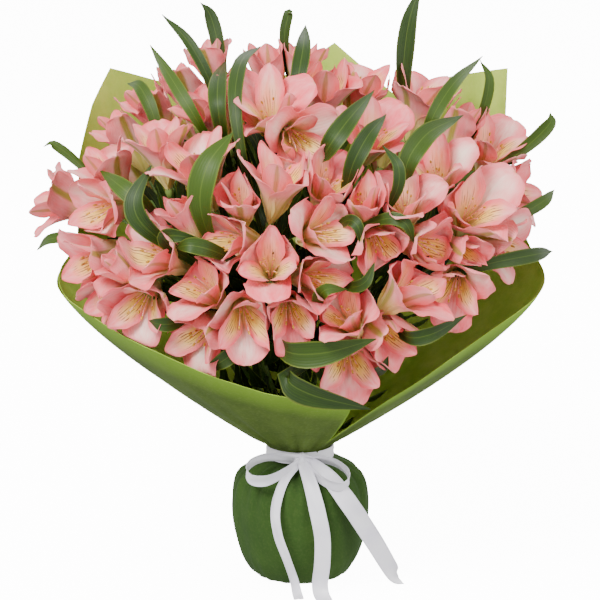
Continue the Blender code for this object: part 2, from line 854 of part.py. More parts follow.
def flower_trials(flower):
    """What is tried for a flower, the fullest first: fullness, lean of its way, sway of its stalk."""
    side, up = flower_frame(flower)
    turns = [math.radians(60 * n) for n in range(6)]
    ways = [side * math.cos(turn) + up * math.sin(turn) for turn in turns]
    sways = [Vector()] + [way * reach * MM for reach in (8, 15, 22) for way in ways]
    for fullness in FULLNESS_STEPS:
        for sway in sways:
            yield fullness, Vector(), sway
        if fullness < 0.7:
            for lean, sway in itertools.product(ways, sways[:7]):
                yield fullness + 0.2, lean * 0.3, sway
                yield fullness + 0.2, lean * 0.6, sway


def make_umbel(name, members, hub, stem_way, rooms, crowd, collection):
    """One umbel: its hub, and the stalk, ovary and tepals of every flower, fused into one body."""
    owner = "umbel_" + name
    meshes = [tube("hub", (hub, hub + stem_way * 7 * MM), (HUB_RADIUS, HUB_RADIUS * 0.7), 6)]
    crowd.add(meshes[0], owner)
    root = hub + stem_way * 3 * MM
    for flower, room in zip(members, rooms):
        mesh = flower_mesh(flower, root, room, crowd, owner)
        if mesh:
            meshes.append(mesh)
    return joined(owner, meshes, collection)


def tie_places(hubs):
    """Where each stem passes the tie, so that the straight runs above it clear each other.

    The stems that lean out most are outermost. Each pair is then pushed apart at the height where its
    runs come nearest, a little at a time, and the hubs give way where that is high up.
    """
    places = [Vector((hub.x, hub.y)) * 12 * MM / (hub.z - TIE_HEIGHT) for hub in hubs]
    for _ in range(400):
        for i, j in itertools.combinations(range(len(hubs)), 2):
            push_runs_apart(places, hubs, i, j)
        for place in places:
            place *= 0.999
    return places


def push_runs_apart(places, hubs, i, j):
    """Moves two stems apart, if their runs from the tie to the hubs come too near."""
    start = places[i] - places[j]
    rises = [hubs[n].z - TIE_HEIGHT for n in (i, j)]
    slopes = [(hubs[n].to_2d() - places[n]) / rise for n, rise in zip((i, j), rises)]
    lean = slopes[0] - slopes[1]
    nearest_at = max(0.0, min(*rises, -start.dot(lean) / max(lean.length_squared, 1e-9)))
    gap = start + lean * nearest_at
    if 1e-9 < gap.length < STEM_SPACING:
        push = gap.normalized() * (STEM_SPACING - gap.length) * 0.5
        for n, rise, way in ((i, rises[0], push), (j, rises[1], -push)):
            share = nearest_at / rise
            places[n] += way * (1 - share)
            hubs[n] += way.to_3d() * share


def stem_points(tie, hub, stem_way):
    """The line of a stem from its cut end, through the tie, to the whorl under its umbel."""
    turned = Vector(
        (
            tie.x * math.cos(STEM_SPIRAL) - tie.y * math.sin(STEM_SPIRAL),
            tie.x * math.sin(STEM_SPIRAL) + tie.y * math.cos(STEM_SPIRAL),
        )
    )
    foot = Vector((*(turned * STEM_FOOT_SPREAD), STEM_FOOT_HEIGHT))
    points = [foot, Vector((tie.x, tie.y, TIE_HEIGHT))]
    end = hub - stem_way * 0.4 * MM
    for t in (0.33, 0.66):
        level = tie + (Vector((end.x, end.y)) - tie) * t
        bend = Vector((level.x, level.y, TIE_HEIGHT + (end.z - TIE_HEIGHT) * t))
        points.append(held_inside(bend, WRAP_CLEARANCE + STEM_RADIUS))
    return [*points, end - stem_way * 9 * MM, end]


def leaf_width(t):
    """Width of a leaf along its length, as a share of its widest."""
    if t < 0.62:
        x = t / 0.62
        return 0.16 + 0.84 * x * x * (3 - 2 * x)
    return max(1 - ((t - 0.62) / 0.38) ** 1.7, 0.0)


def leaf_line(root, emerges, tip, t):
    """A point of a leaf's midrib, which leaves the stem, comes out of the dome and runs to its tip."""
    through = LEAF_EMERGES_AT
    bend = (emerges - root * (1 - through) ** 2 - tip * through**2) / (2 * through * (1 - through))
    return root * (1 - t) ** 2 + bend * 2 * t * (1 - t) + tip * t * t


@dataclass
class Blade:
    """A leaf in its place: points of its midrib, the way its upper side looks, its width and roll."""

    line: list
    face: Vector
    width: float
    roll: float
    umbel: int

    def section(self, number):
        """The row of the leaf at a point of its midrib: left edge, ridge, right edge and keel."""
        ridge = self.line[number]
        way = (self.line[number + 1] - self.line[max(number - 1, 0)]).normalized()
        across = way.cross(self.face).normalized()
        turn = math.radians(self.roll) * LEAF_ROWS[number]
        across = across * math.cos(turn) + way.cross(across) * math.sin(turn)
        half = across.cross(way) * LEAF_THICKNESS / 2
        side = across * self.width * leaf_width(LEAF_ROWS[number]) / 2
        return ridge - side, ridge + half, ridge + side, ridge - half

    def mesh(self):
        """The thin solid of the leaf."""
        return blade("leaf", [self.section(n) for n in range(len(LEAF_ROWS))], self.line[-1])


def placed_leaves(number, leaves, run, flowers):
    """The leaves of one stem's whorl, those of the photograph and one under the flowers, kept off them."""
    hub = run[-1]
    stem_way = (run[-1] - run[-2]).normalized()
    draw = random.Random(31 * number)
    turn = draw.uniform(0, 2 * math.pi)
    side = sideways(stem_way)
    out = side * math.cos(turn) + stem_way.cross(side) * math.sin(turn)
    inner = (hub + stem_way * 14 * MM + out * 16 * MM, hub + stem_way * 38 * MM + out * 32 * MM, 15 * MM, 0.0)
    places = [
        (on_dome(leaf.emerges, leaf.lift), on_dome(leaf.tip, leaf.tip_lift), leaf.width, leaf.roll)
        for leaf in leaves
    ]
    for place, (emerges, tip, width, roll) in enumerate([*places, inner]):
        root = point_below(run, (13 + 4 * place) * MM)
        line = [leaf_line(root, emerges, tip, t) for t in (*LEAF_ROWS, 1.0)]
        line = [line[0]] + [kept_off(off_stem(point, hub, stem_way), flowers) for point in line[1:]]
        line = [held_inside(point, WRAP_CLEARANCE + width * 0.4) for point in line]
        yield Blade([root, *line[1:]], dome_normal(emerges), width, roll, number)


def point_below(run, distance):
    """The point of a stem's run at a distance back from its end."""
    for ahead, here in zip(run[::-1], run[-2::-1]):
        length = (ahead - here).length
        if distance <= length:
            return ahead.lerp(here, distance / length)
        distance -= length
    return run[0]


def off_stem(point, hub, stem_way):
    """A point of a leaf, moved out where it would run up through the umbel's own stalks."""
    away = point - hub
    away -= stem_way * away.dot(stem_way)
    if away.length >= LEAF_KEEPS_OFF:
        return point
    return point + away.normalized() * (LEAF_KEEPS_OFF - away.length)


def kept_off(point, flowers):
    """A point of a leaf, moved out of the flowers that it comes too near to."""
    for _ in range(4):
        for flower in flowers:
            start, end = flower.base, flower.mouth
            share = (point - start).dot(end - start) / (end - start).length_squared
            nearest = start + (end - start) * max(0.0, min(share, 1.0))
            gap = point - nearest
            wanted = LEAF_KEEPS_OFF * (0.45 + 0.55 * max(0.0, min(share, 1.0)))
            if 1e-6 < gap.length < wanted:
                point = point + gap.normalized() * (wanted - gap.length)
    return point


def clear_leaf(leaf, run, crowd, owner):
    """A leaf's solid, narrower, lower on its stem or bent aside where it would cross a piece, or None."""
    along = (leaf.line[-1] - leaf.line[0]).normalized()
    side = along.cross(leaf.face).normalized()
    ways = [side * math.cos(turn) + leaf.face * math.sin(turn) for turn in (math.radians(45 * n) for n in range(8))]
    moves = [Vector()] + [way * step * MM for step in (4, 8, 12, 17) for way in ways]
    up_stem = (run[-1] - leaf.line[0]).length
    for narrowing, lower, bend, move in itertools.product((1.0, 0.75, 0.55), (0, 12, 26), LEAF_BENDS, moves):
        slide = point_below(run, up_stem + lower * MM) - leaf.line[0]
        bent = [point + move * a + slide * b for point, a, b in zip(leaf.line, bend, LEAF_SLIDE)]
        bent[1:] = [held_inside(point, WRAP_CLEARANCE) for point in bent[1:]]
        trial = Blade(bent, leaf.face, leaf.width * narrowing, leaf.roll, leaf.umbel)
        mesh = trial.mesh()
        if not crosses_itself(mesh) and not crowd.crosses(mesh, owner):
            crowd.add(mesh, owner)
            return mesh
    return None


def make_stem(name, stalk, run, leaves, crowd, collection):
    """One green stem with its leaves, fused into one body."""
    owner = "stem_" + name
    shapes = [clear_leaf(leaf, run, crowd, owner) for leaf in leaves]
    return joined(owner, [stalk] + [mesh for mesh in shapes if mesh], collection)


def rim_height(rim, turn):
    """The height of a paper rim at a turn round the bouquet, in metres."""
    for (before, low), (after, high) in zip(rim, rim[1:]):
        if turn <= after:
            share = (turn - before) / (after - before)
            return (low + (high - low) * share) * MM
    return rim[-1][1] * MM


def wrap_rim(turn):
    """The height of the wrap's upper edge at a turn round the bouquet, whichever sheet reaches higher."""
    heights = []
    for rim in (BACK_RIM, FRONT_RIM):
        for whole in (-360, 0, 360):
            if rim[0][0] <= turn + whole <= rim[-1][0]:
                heights.append(rim_height(rim, turn + whole))
    return max(heights)


def flare_radius(turn, height):
    """The wrap's radius: a cone from the neck that steepens to an upright wall."""
    around = math.radians(turn)
    depth = FLARE_BACK if math.sin(around) > 0 else FLARE_FRONT
    widest = 1 / math.hypot(math.cos(around) / FLARE_SIDE, math.sin(around) / depth)
    rise = max(height - NECK_TOP, 0.0) / FLARE_HEIGHT
    share = 1 - (1 - min(rise, 1.0)) ** FLARE_POWER
    for wing in WING_TURNS:
        away = (turn - wing + 180) % 360 - 180
        widest += WING_REACH * math.exp(-((away / WING_SPREAD) ** 2))
    return NECK_RADIUS + (widest - NECK_RADIUS) * share + WALL_LEAN * FLARE_HEIGHT * max(rise - 1, 0.0)


def flare_point(turn, height, outside):
    """A point of the wrap's flare, the given distance outside its inner face."""
    around = math.radians(turn)
    radius = flare_radius(turn, height) + outside
    return Vector((radius * math.cos(around), radius * math.sin(around), height))


def wrap_turns(rim):
    """The turns that a sheet's columns stand at. Both sheets share them, so that they lie face to face."""
    keys = {turn % 360 for whole in (BACK_RIM, FRONT_RIM) for turn, _ in whole}
    spaced = {turn for turn in range(0, 360, WRAP_STEP) if all(abs(turn - key) > WRAP_STEP / 2 for key in keys)}
    everywhere = [turn + whole for turn in keys | spaced for whole in (-360, 0, 360)]
    return sorted(turn for turn in everywhere if rim[0][0] <= turn <= rim[-1][0])


def make_flare(name, rim, outside, collection):
    """One sheet of the wrap, from under the ribbon to its own rim, as a thin shell."""
    work = bmesh.new()
    columns = []
    for turn in wrap_turns(rim):
        top = rim_height(rim, turn)
        heights = [level * MM for level in WRAP_LEVELS if level * MM < top - 3 * MM] + [top]
        columns.append(add_verts(work, [flare_point(turn, height, outside) for height in heights]))
    for left, right in zip(columns, columns[1:]):
        zip_columns(work, left, right)
    sheet = new_object(name, mesh_of(name, work), collection)
    thick = sheet.modifiers.new("paper", "SOLIDIFY")
    thick.thickness = PAPER
    thick.offset = outward_offset(sheet)
    apply_modifiers(sheet)
    return sheet


def zip_columns(work, left, right):
    """Faces between two columns of vertices that may differ in number."""
    shared = min(len(left), len(right)) - 1
    for n in range(shared):
        work.faces.new((left[n], right[n], right[n + 1]))
        work.faces.new((left[n], right[n + 1], left[n + 1]))
    for n in range(shared, len(left) - 1):
        work.faces.new((left[n], right[-1], left[n + 1]))
    for n in range(shared, len(right) - 1):
        work.faces.new((left[-1], right[n], right[n + 1]))


def outward_offset(sheet):
    """The Solidify offset that thickens an open sheet away from the bouquet's axis."""
    leaning = sum(face.normal.x * face.center.x + face.normal.y * face.center.y for face in sheet.data.polygons)
    return 1.0 if leaning > 0 else -1.0


def make_foot(collection):
    """The pleated paper bag round the stem ends: a turned wall with an open neck and a closed flat base."""
    outer = [Vector((radius * MM, 0, height * MM)) for radius, height in FOOT_PROFILE]
    inner = []
    for i, here in enumerate(outer):
        before, after = outer[max(i - 1, 0)], outer[min(i + 1, len(outer) - 1)]
        along = (after - before).normalized()
        normal = Vector((-along.z, 0, along.x))
        inner.append(here + normal * PAPER)
    inner[0] = Vector((0, 0, PAPER))
    work = bmesh.new()
    wall = [work.verts.new(point) for point in reversed(outer)]
    wall = wall + [work.verts.new(point) for point in inner]
    for here, ahead in zip(wall, wall[1:] + wall[:1]):
        if (here.co - ahead.co).length > 0 and max(here.co.x, ahead.co.x) > 0:
            work.edges.new((here, ahead))
    mesh = bpy.data.meshes.new("foot_wrap")
    work.to_mesh(mesh)
    work.free()
    foot = new_object("foot_wrap", mesh, collection)
    turned = foot.modifiers.new("turned", "SCREW")
    turned.steps = turned.render_steps = FOOT_SIDES
    turned.use_merge_vertices = True
    turned.merge_threshold = 0.01 * MM
    apply_modifiers(foot)
    for vert in foot.data.vertices:
        bulge = math.sin(math.pi * min(vert.co.z / TIE_HEIGHT, 1.0))
        around = math.atan2(vert.co.y, vert.co.x)
        flat = Vector((vert.co.x, vert.co.y, 0))
        if flat.length > 20 * MM:
            vert.co += flat.normalized() * FOOT_PLEAT_DEPTH * bulge * math.cos(FOOT_PLEATS * around)
    work = bmesh.new()
    work.from_mesh(foot.data)
    bmesh.ops.remove_doubles(work, verts=work.verts, dist=0.01 * MM)
    foot.data = mesh_of("foot_wrap", work)
    return foot


def band_mesh(name, points, widths, faces):
    """A closed flat ribbon along points. faces gives the way its flat side looks at each point."""
    work = bmesh.new()
    rings = []
    for i, place in enumerate(points):
        way = (points[min(i + 1, len(points) - 1)] - points[max(i - 1, 0)]).normalized()
        across = way.cross(faces[i]).normalized()
        face = across.cross(way).normalized()
        side, half = across * widths[i] / 2, face * RIBBON_THICKNESS / 2
        rings.append([work.verts.new(p) for p in (place - side - half, place + side - half, place + side + half, place - side + half)])
    work.faces.new(rings[0])
    work.faces.new(rings[-1])
    for here, ahead in zip(rings, rings[1:]):
        for i in range(4):
            j = (i + 1) % 4
            work.faces.new((here[i], here[j], ahead[j]))
            work.faces.new((here[i], ahead[j], ahead[i]))
    return mesh_of(name, work)


def ring_mesh(name, radius, height, width, thickness, steps=24):
    """A flat band closed round the neck."""
    work = bmesh.new()
    corners = ((0, -0.5), (1, -0.5), (1, 0.5), (0, 0.5))
    rings = []
    for step in range(steps):
        turn = 2 * math.pi * step / steps
        out = Vector((math.cos(turn), math.sin(turn), 0))
        rings.append([work.verts.new(out * (radius + thickness * a) + Vector((0, 0, height + width * b))) for a, b in corners])
    for here, ahead in zip(rings, rings[1:] + rings[:1]):
        for i in range(4):
            j = (i + 1) % 4
            work.faces.new((here[i], here[j], ahead[j], ahead[i]))
    return mesh_of(name, work)


# The bow's runs, each a list of points (x, y, z) in millimetres, with the way the ribbon's flat side looks
KNOT = (2, -36, 118)
BOW_LOOPS = (
    ("left_loop", ((0.6, -36.8, 119.4), (-14, -41, 122), (-33, -50, 121), (-45, -52, 112), (-40, -56, 101), (-24, -52, 103), (-8, -42, 113), (1.2, -35.4, 116.9))),
    ("right_loop", ((3.9, -36.1, 119.1), (18, -40, 118), (34, -46, 112), (43, -47, 103), (36, -53, 96), (22, -50, 103), (10, -41, 112), (3.3, -37.0, 116.5))),
)  # fmt: skip
TAILS = (
    ("left_tail", ((0.3, -37.3, 117.6), (-14, -52, 104), (-22, -66, 82), (-20, -71, 60), (-12, -69, 36), (-6, -65, 16), (-3, -68, 4), (-1, -78, 1.0)), 7.5),
    ("middle_tail", ((2.4, -37.9, 118.3), (10, -56, 100), (16, -67, 78), (20, -69, 56), (20, -68, 32), (18, -66, 12), (19, -70, 3), (22, -82, 1.0)), 10.0),
    ("right_tail", ((4.7, -36.6, 117.4), (26, -50, 106), (44, -57, 84), (58, -50, 60), (70, -42, 38), (81, -34, 16), (87, -30, 5), (92, -28, 1.0)), 11.0),
)  # fmt: skip


def smooth_run(points, steps):
    """Points of a smooth curve through the given ones."""
    knots = [Vector(point) * MM for point in points]
    padded = [knots[0] * 2 - knots[1], *knots, knots[-1] * 2 - knots[-2]]
    made = []
    for i in range(1, len(padded) - 2):
        a, b, c, d = padded[i - 1 : i + 3]
        for step in range(steps):
            t = step / steps
            made.append(b + (c - a) * 0.5 * t + (a * 2 - b * 5 + c * 4 - d) * 0.5 * t * t + (b * 3 - a - c * 3 + d) * 0.5 * t**3)
    return [*made, knots[-1]]


def facing_out(point):
    """The way out from the bouquet's axis at a point, or up where the ribbon lies on the surface."""
    if point.z < 3 * MM:
        return Vector((0, 0, 1))
    return Vector((point.x, point.y, 12 * MM)).normalized()


def make_ribbon(collection):
    """The ribbon: a band round the neck, the knot, two loops and three tails, all one length of ribbon."""
    meshes = [ring_mesh("band", RIBBON_RADIUS, TIE_HEIGHT, RIBBON_WIDTH, RIBBON_THICKNESS)]
    knot = bmesh.new()
    bmesh.ops.create_uvsphere(knot, u_segments=8, v_segments=5, radius=1.0)
    for vert in knot.verts:
        vert.co = Vector(KNOT) * MM + Vector((vert.co.x * 8, vert.co.y * 5.2, vert.co.z * 7)) * MM
    meshes.append(mesh_of("knot", knot))
    for name, points in BOW_LOOPS:
        run = smooth_run(points, 2)
        middle = sum(run, Vector()) / len(run)
        faces = [(point - middle).normalized() for point in run]
        meshes.append(band_mesh(name, run, [RIBBON_WIDTH * 0.9] * len(run), loop_faces(run, faces)))
    for name, points, width in TAILS:
        run = smooth_run(points, 2)
        widths = [width * MM * (0.75 + 0.25 * min(i / 4, 1)) for i in range(len(run))]
        meshes.append(band_mesh(name, run, widths, [facing_out(point) for point in run]))
    return joined("ribbon", meshes, collection)


def loop_faces(run, faces):
    """The way the ribbon looks along a loop, kept square to its run so that it turns over smoothly."""
    looks = []
    for i, face in enumerate(faces):
        way = (run[min(i + 1, len(run) - 1)] - run[max(i - 1, 0)]).normalized()
        look = face - way * way.dot(face)
        looks.append(look.normalized())
    return looks


def make_twine(ties, collection):
    """The binding that holds the stems together, a ring of twine round the bundle under the paper."""
    bundle = max(place.length for place in ties) + STEM_RADIUS
    bpy.ops.mesh.primitive_torus_add(
        major_radius=bundle + TWINE_RADIUS + 0.9 * MM,
        minor_radius=TWINE_RADIUS,
        major_segments=24,
        minor_segments=5,
        location=(0, 0, TIE_HEIGHT - 4 * MM),
    )
    twine = bpy.context.object
    twine.name = "binding_twine"
    twine.data.transform(twine.matrix_world)
    twine.location = (0, 0, 0)
    for old in list(twine.users_collection):
        old.objects.unlink(twine)
    collection.objects.link(twine)
    return twine


class Crowd:
    """The pieces that already stand in the bouquet, which a new piece is tried against."""

    def __init__(self):
        self.pieces = []

    def add(self, mesh, owner):
        """Puts a mesh in its place, as part of the node that owns it."""
        self.pieces.append((*shape_of(mesh), owner))

    def crosses(self, mesh, owner):
        """Whether a mesh crosses a piece of any node but its own."""
        tree, low, high = shape_of(mesh)
        for other, other_low, other_high, other_owner in self.pieces:
            if other_owner == owner or any(low[i] > other_high[i] or other_low[i] > high[i] for i in range(3)):
                continue
            if tree.overlap(other):
                return True
        return False


def shape_of(mesh):
    """A search tree of a mesh's faces, and the low and high corners of its box."""
    points = [vert.co for vert in mesh.vertices]
    low = [min(point[i] for point in points) for i in range(3)]
    high = [max(point[i] for point in points) for i in range(3)]
    return BVHTree.FromPolygons(points, [face.vertices for face in mesh.polygons]), low, high


def finish(made, colour, roughness):
    """Gives an object its own material and smooth shading with sharp edges."""
    material = bpy.data.materials.new(made.name)
    material.use_nodes = True
    surface = material.node_tree.nodes["Principled BSDF"]
    surface.inputs["Base Color"].default_value = (*colour, 1)
    surface.inputs["Roughness"].default_value = roughness
    material.diffuse_color = (*colour, 1)
    made.data.materials.clear()
    made.data.materials.append(material)
    made.data.shade_smooth()
    made.data.set_sharp_from_angle(angle=math.radians(40))


COLOURS = {
    "umbel": ((0.83, 0.30, 0.33), 0.55),
    "stem": ((0.06, 0.17, 0.03), 0.45),
    "wrap": ((0.30, 0.40, 0.14), 0.85),
    "foot": ((0.09, 0.20, 0.04), 0.85),
    "ribbon": ((0.80, 0.79, 0.82), 0.4),
    "binding": ((0.45, 0.33, 0.18), 0.9),
}


def main():
    """Builds the bouquet."""
    for old in list(bpy.data.objects):
        bpy.data.objects.remove(old)
    bouquet = bpy.data.collections.new("alstroemeria_bouquet")
    bpy.context.scene.collection.children.link(bouquet)

    flowers = placed_flowers()
    names = [umbel.name for umbel in UMBELS] + [name for name, _ in BACK_UMBELS]
    leaves = [umbel.leaves for umbel in UMBELS] + [()] * len(BACK_UMBELS)
    members = [[flower for flower in flowers if flower.umbel == n] for n in range(len(names))]
    hubs = [umbel_hub(group) for group in members]
    ties = tie_places([hub for hub, _ in hubs])
    runs = [stem_points(ties[n], *hubs[n]) for n in range(len(names))]
    whorls = [list(placed_leaves(n, leaves[n], runs[n], flowers)) for n in range(len(names))]
    all_leaves = [leaf for whorl in whorls for leaf in whorl]

    nodes = [
        make_foot(bouquet),
        make_flare("wrap_back", BACK_RIM, 0.0, bouquet),
        make_flare("wrap_front", FRONT_RIM, FRONT_OUTSIDE, bouquet),
        make_ribbon(bouquet),
        make_twine(ties, bouquet),
    ]
    crowd = Crowd()
    for node in nodes:
        crowd.add(node.data, node.name)
    stalks = []
    for n, name in enumerate(names):
        stalks.append(tube("stalk", runs[n], [STEM_RADIUS] * len(runs[n]), 6))
        crowd.add(stalks[n], "stem_" + name)
    for n, name in enumerate(names):
        rooms = [room_of(flower, flowers, all_leaves) for flower in members[n]]
        nodes.append(make_umbel(name, members[n], *hubs[n], rooms, crowd, bouquet))
    for n, name in enumerate(names):
        nodes.append(make_stem(name, stalks[n], runs[n], whorls[n], crowd, bouquet))
    for node in nodes:
        colour, roughness = COLOURS[node.name.split("_")[0]]
        finish(node, colour, roughness)


main()
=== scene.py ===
"""Dressed alstroemeria bouquet: blooms, leaves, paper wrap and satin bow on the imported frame.

The flowers and leaves stand where the solids have them. Their places are worked out again here in the
same way, from the pixel each is seen at and the domed top of the bouquet.
"""

from __future__ import annotations

import itertools
import logging
import math
import random
from collections.abc import Iterable, Iterator, Sequence
from dataclasses import dataclass, field
from enum import Enum

import bpy
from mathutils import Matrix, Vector

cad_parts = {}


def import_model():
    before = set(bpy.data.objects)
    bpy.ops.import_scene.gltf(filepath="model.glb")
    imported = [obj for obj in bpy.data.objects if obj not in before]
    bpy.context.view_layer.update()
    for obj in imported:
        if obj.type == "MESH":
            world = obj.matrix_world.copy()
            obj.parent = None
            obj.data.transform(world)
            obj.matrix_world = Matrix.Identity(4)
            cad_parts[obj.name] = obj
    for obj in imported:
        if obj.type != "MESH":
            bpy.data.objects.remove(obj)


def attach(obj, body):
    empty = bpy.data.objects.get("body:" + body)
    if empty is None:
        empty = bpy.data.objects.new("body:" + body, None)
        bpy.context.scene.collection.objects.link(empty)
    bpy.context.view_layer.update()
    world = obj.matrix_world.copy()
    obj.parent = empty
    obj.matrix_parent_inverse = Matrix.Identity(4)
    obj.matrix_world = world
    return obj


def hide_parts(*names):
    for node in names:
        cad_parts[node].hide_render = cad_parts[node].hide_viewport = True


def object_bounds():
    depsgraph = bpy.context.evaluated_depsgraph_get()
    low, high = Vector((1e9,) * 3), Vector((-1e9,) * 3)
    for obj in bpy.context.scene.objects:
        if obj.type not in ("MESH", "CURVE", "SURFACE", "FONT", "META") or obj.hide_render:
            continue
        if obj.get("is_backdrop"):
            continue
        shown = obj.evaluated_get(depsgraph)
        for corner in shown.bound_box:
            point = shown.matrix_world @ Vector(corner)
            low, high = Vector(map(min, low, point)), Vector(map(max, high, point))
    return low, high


LOG = logging.getLogger("bouquet")
MM = 0.001
BODY = "root"
SHARP_FROM = math.radians(60)

Colour = tuple[float, float, float]


class Slot(Enum):
    """The record's material slots."""

    PETALS = "petals"
    GREENERY = "greenery"
    WRAP = "wrap_paper"
    FOOT = "foot_paper"
    RIBBON = "ribbon"
    TWINE = "twine"


# ------------------------------
# Small sums


def share_of(value: float) -> float:
    """value kept between 0 and 1."""
    return min(max(value, 0.0), 1.0)


def eased(share: float) -> float:
    """A share of 0 to 1 with a smooth start and end."""
    return share * share * (3 - 2 * share)


def soft_push(beyond: float, softness: float) -> float:
    """How far to move back what is beyond a bound, so that it starts smoothly."""
    return beyond - softness * (1 - math.exp(-beyond / softness))


def turned(side: Vector, up: Vector, turn: float) -> Vector:
    """The direction at a turn in radians from side towards up."""
    return side * math.cos(turn) + up * math.sin(turn)


def round_axis(turn: float, radius: float, height: float) -> Vector:
    """The point at a turn in radians round the bouquet's axis."""
    return Vector((radius * math.cos(turn), radius * math.sin(turn), height))


def headings(run: Sequence[Vector]) -> list[Vector]:
    """The direction of a run at each of its points."""
    last = len(run) - 1
    return [(run[min(n + 1, last)] - run[max(n - 1, 0)]).normalized() for n in range(len(run))]


# ------------------------------
# Node trees


class Term:
    """A node's output that takes part in sums, so that a finish reads as a formula."""

    def __init__(self, tree: Tree, socket: bpy.types.NodeSocket) -> None:
        """Keeps the socket and the tree it belongs to."""
        self.tree = tree
        self.socket = socket

    def maths(self, operation: str, *values: Term | float) -> Term:
        """The result of one Math node."""
        return self.tree.node("ShaderNodeMath", {"operation": operation}, *values)

    def __add__(self, other: Term | float) -> Term:
        """self + other."""
        return self.maths("ADD", self, other)

    def __radd__(self, other: float) -> Term:
        """other + self."""
        return self.maths("ADD", other, self)

    def __sub__(self, other: Term | float) -> Term:
        """self - other."""
        return self.maths("SUBTRACT", self, other)

    def __rsub__(self, other: float) -> Term:
        """other - self."""
        return self.maths("SUBTRACT", other, self)

    def __mul__(self, other: Term | float) -> Term:
        """self * other."""
        return self.maths("MULTIPLY", self, other)

    def __rmul__(self, other: float) -> Term:
        """other * self."""
        return self.maths("MULTIPLY", other, self)

    def __abs__(self) -> Term:
        """The size of self."""
        return self.maths("ABSOLUTE", self)

    def wave(self) -> Term:
        """The sine of self."""
        return self.maths("SINE", self)

    def clipped(self) -> Term:
        """self kept between 0 and 1."""
        return self.tree.node("ShaderNodeClamp", {}, self)

    def rising(self, low: float, high: float) -> Term:
        """0 below low and 1 above high, with a smooth rise between."""
        return self.tree.node("ShaderNodeMapRange", {"interpolation_type": "SMOOTHSTEP"}, self, low, high, 0.0, 1.0)


class Tree:
    """A node tree that is built in code."""

    def __init__(self, tree: bpy.types.NodeTree) -> None:
        """Keeps the tree."""
        self.tree = tree

    def node(self, kind: str, settings: dict, *values: object, out: int | str = 0, **named: object) -> Term:
        """Adds a node.

        Args:
            kind: The node's type.
            settings: Its own settings, which are set first.
            values: What its inputs get, in order; None leaves one alone.
            out: The output that is wanted, by number or name.
            named: What inputs get by name, with _ for a space.

        Returns:
            The wanted output.
        """
        made = self.tree.nodes.new(kind)
        for key, setting in settings.items():
            setattr(made, key, setting)
        pairs = [(made.inputs[n], value) for n, value in enumerate(values) if value is not None]
        pairs += [(made.inputs[key.replace("_", " ")], value) for key, value in named.items()]
        for socket, value in pairs:
            self.feed(socket, value)
        return Term(self, made.outputs[out])

    def feed(self, socket: bpy.types.NodeSocket, value: object) -> None:
        """Links a term to an input, or sets the input's own value.

        Args:
            socket: The input.
            value: The term or the plain value; a colour may leave out its alpha.
        """
        if isinstance(value, Term):
            self.tree.links.new(value.socket, socket)
        elif isinstance(value, (tuple, list)) and len(value) == 3 and len(getattr(socket, "default_value", ())) == 4:
            socket.default_value = (*value, 1.0)
        else:
            socket.default_value = value


class Shader(Tree):
    """A material's node tree."""

    def attribute(self, name: str) -> Term:
        """A number that the mesh carries at each vertex."""
        return self.node("ShaderNodeAttribute", {"attribute_name": name}, out="Fac")

    def place(self) -> Term:
        """The place on the object, in metres."""
        return self.node("ShaderNodeTexCoord", {}, out="Object")

    def stretched(self, where: Term, scale: tuple[float, float, float]) -> Term:
        """A place with its axes scaled."""
        return self.node("ShaderNodeMapping", {}, where, Scale=scale)

    def joined(self, x: Term | float, y: Term | float, z: Term | float) -> Term:
        """A vector of three numbers."""
        return self.node("ShaderNodeCombineXYZ", {}, x, y, z)

    def noise(self, where: Term, scale: float, detail: float = 3.0, rough: float = 0.55) -> Term:
        """Soft noise at a place, about 0.5."""
        return self.node("ShaderNodeTexNoise", {}, Vector=where, Scale=scale, Detail=detail, Roughness=rough)

    def mix(self, share: Term | float, below: object, above: object, blend: str = "MIX") -> Term:
        """Mixes two colours.

        Args:
            share: How much of the second one shows, from 0 to 1.
            below: The first colour.
            above: The second colour.
            blend: The way that the second lies on the first.

        Returns:
            The mixed colour.
        """
        settings = {"data_type": "RGBA", "blend_type": blend, "clamp_factor": True}
        made = self.node("ShaderNodeMix", settings, out=2)
        inputs = made.socket.node.inputs
        for number, value in ((0, share), (6, below), (7, above)):
            self.feed(inputs[number], value)
        return made

    def relief(self, height: Term, depth: float, strength: float = 1.0) -> Term:
        """The normal of a surface with this height on it, up to depth in metres."""
        return self.node("ShaderNodeBump", {}, Strength=strength, Distance=depth, Height=height, out="Normal")


def srgb(red: int, green: int, blue: int) -> Colour:
    """A linear colour from a screen colour of 0 to 255."""

    def linear(level: float) -> float:
        """One channel of it."""
        return level / 12.92 if level <= 0.04045 else ((level + 0.055) / 1.055) ** 2.4

    return linear(red / 255), linear(green / 255), linear(blue / 255)


# ------------------------------
# Finishes


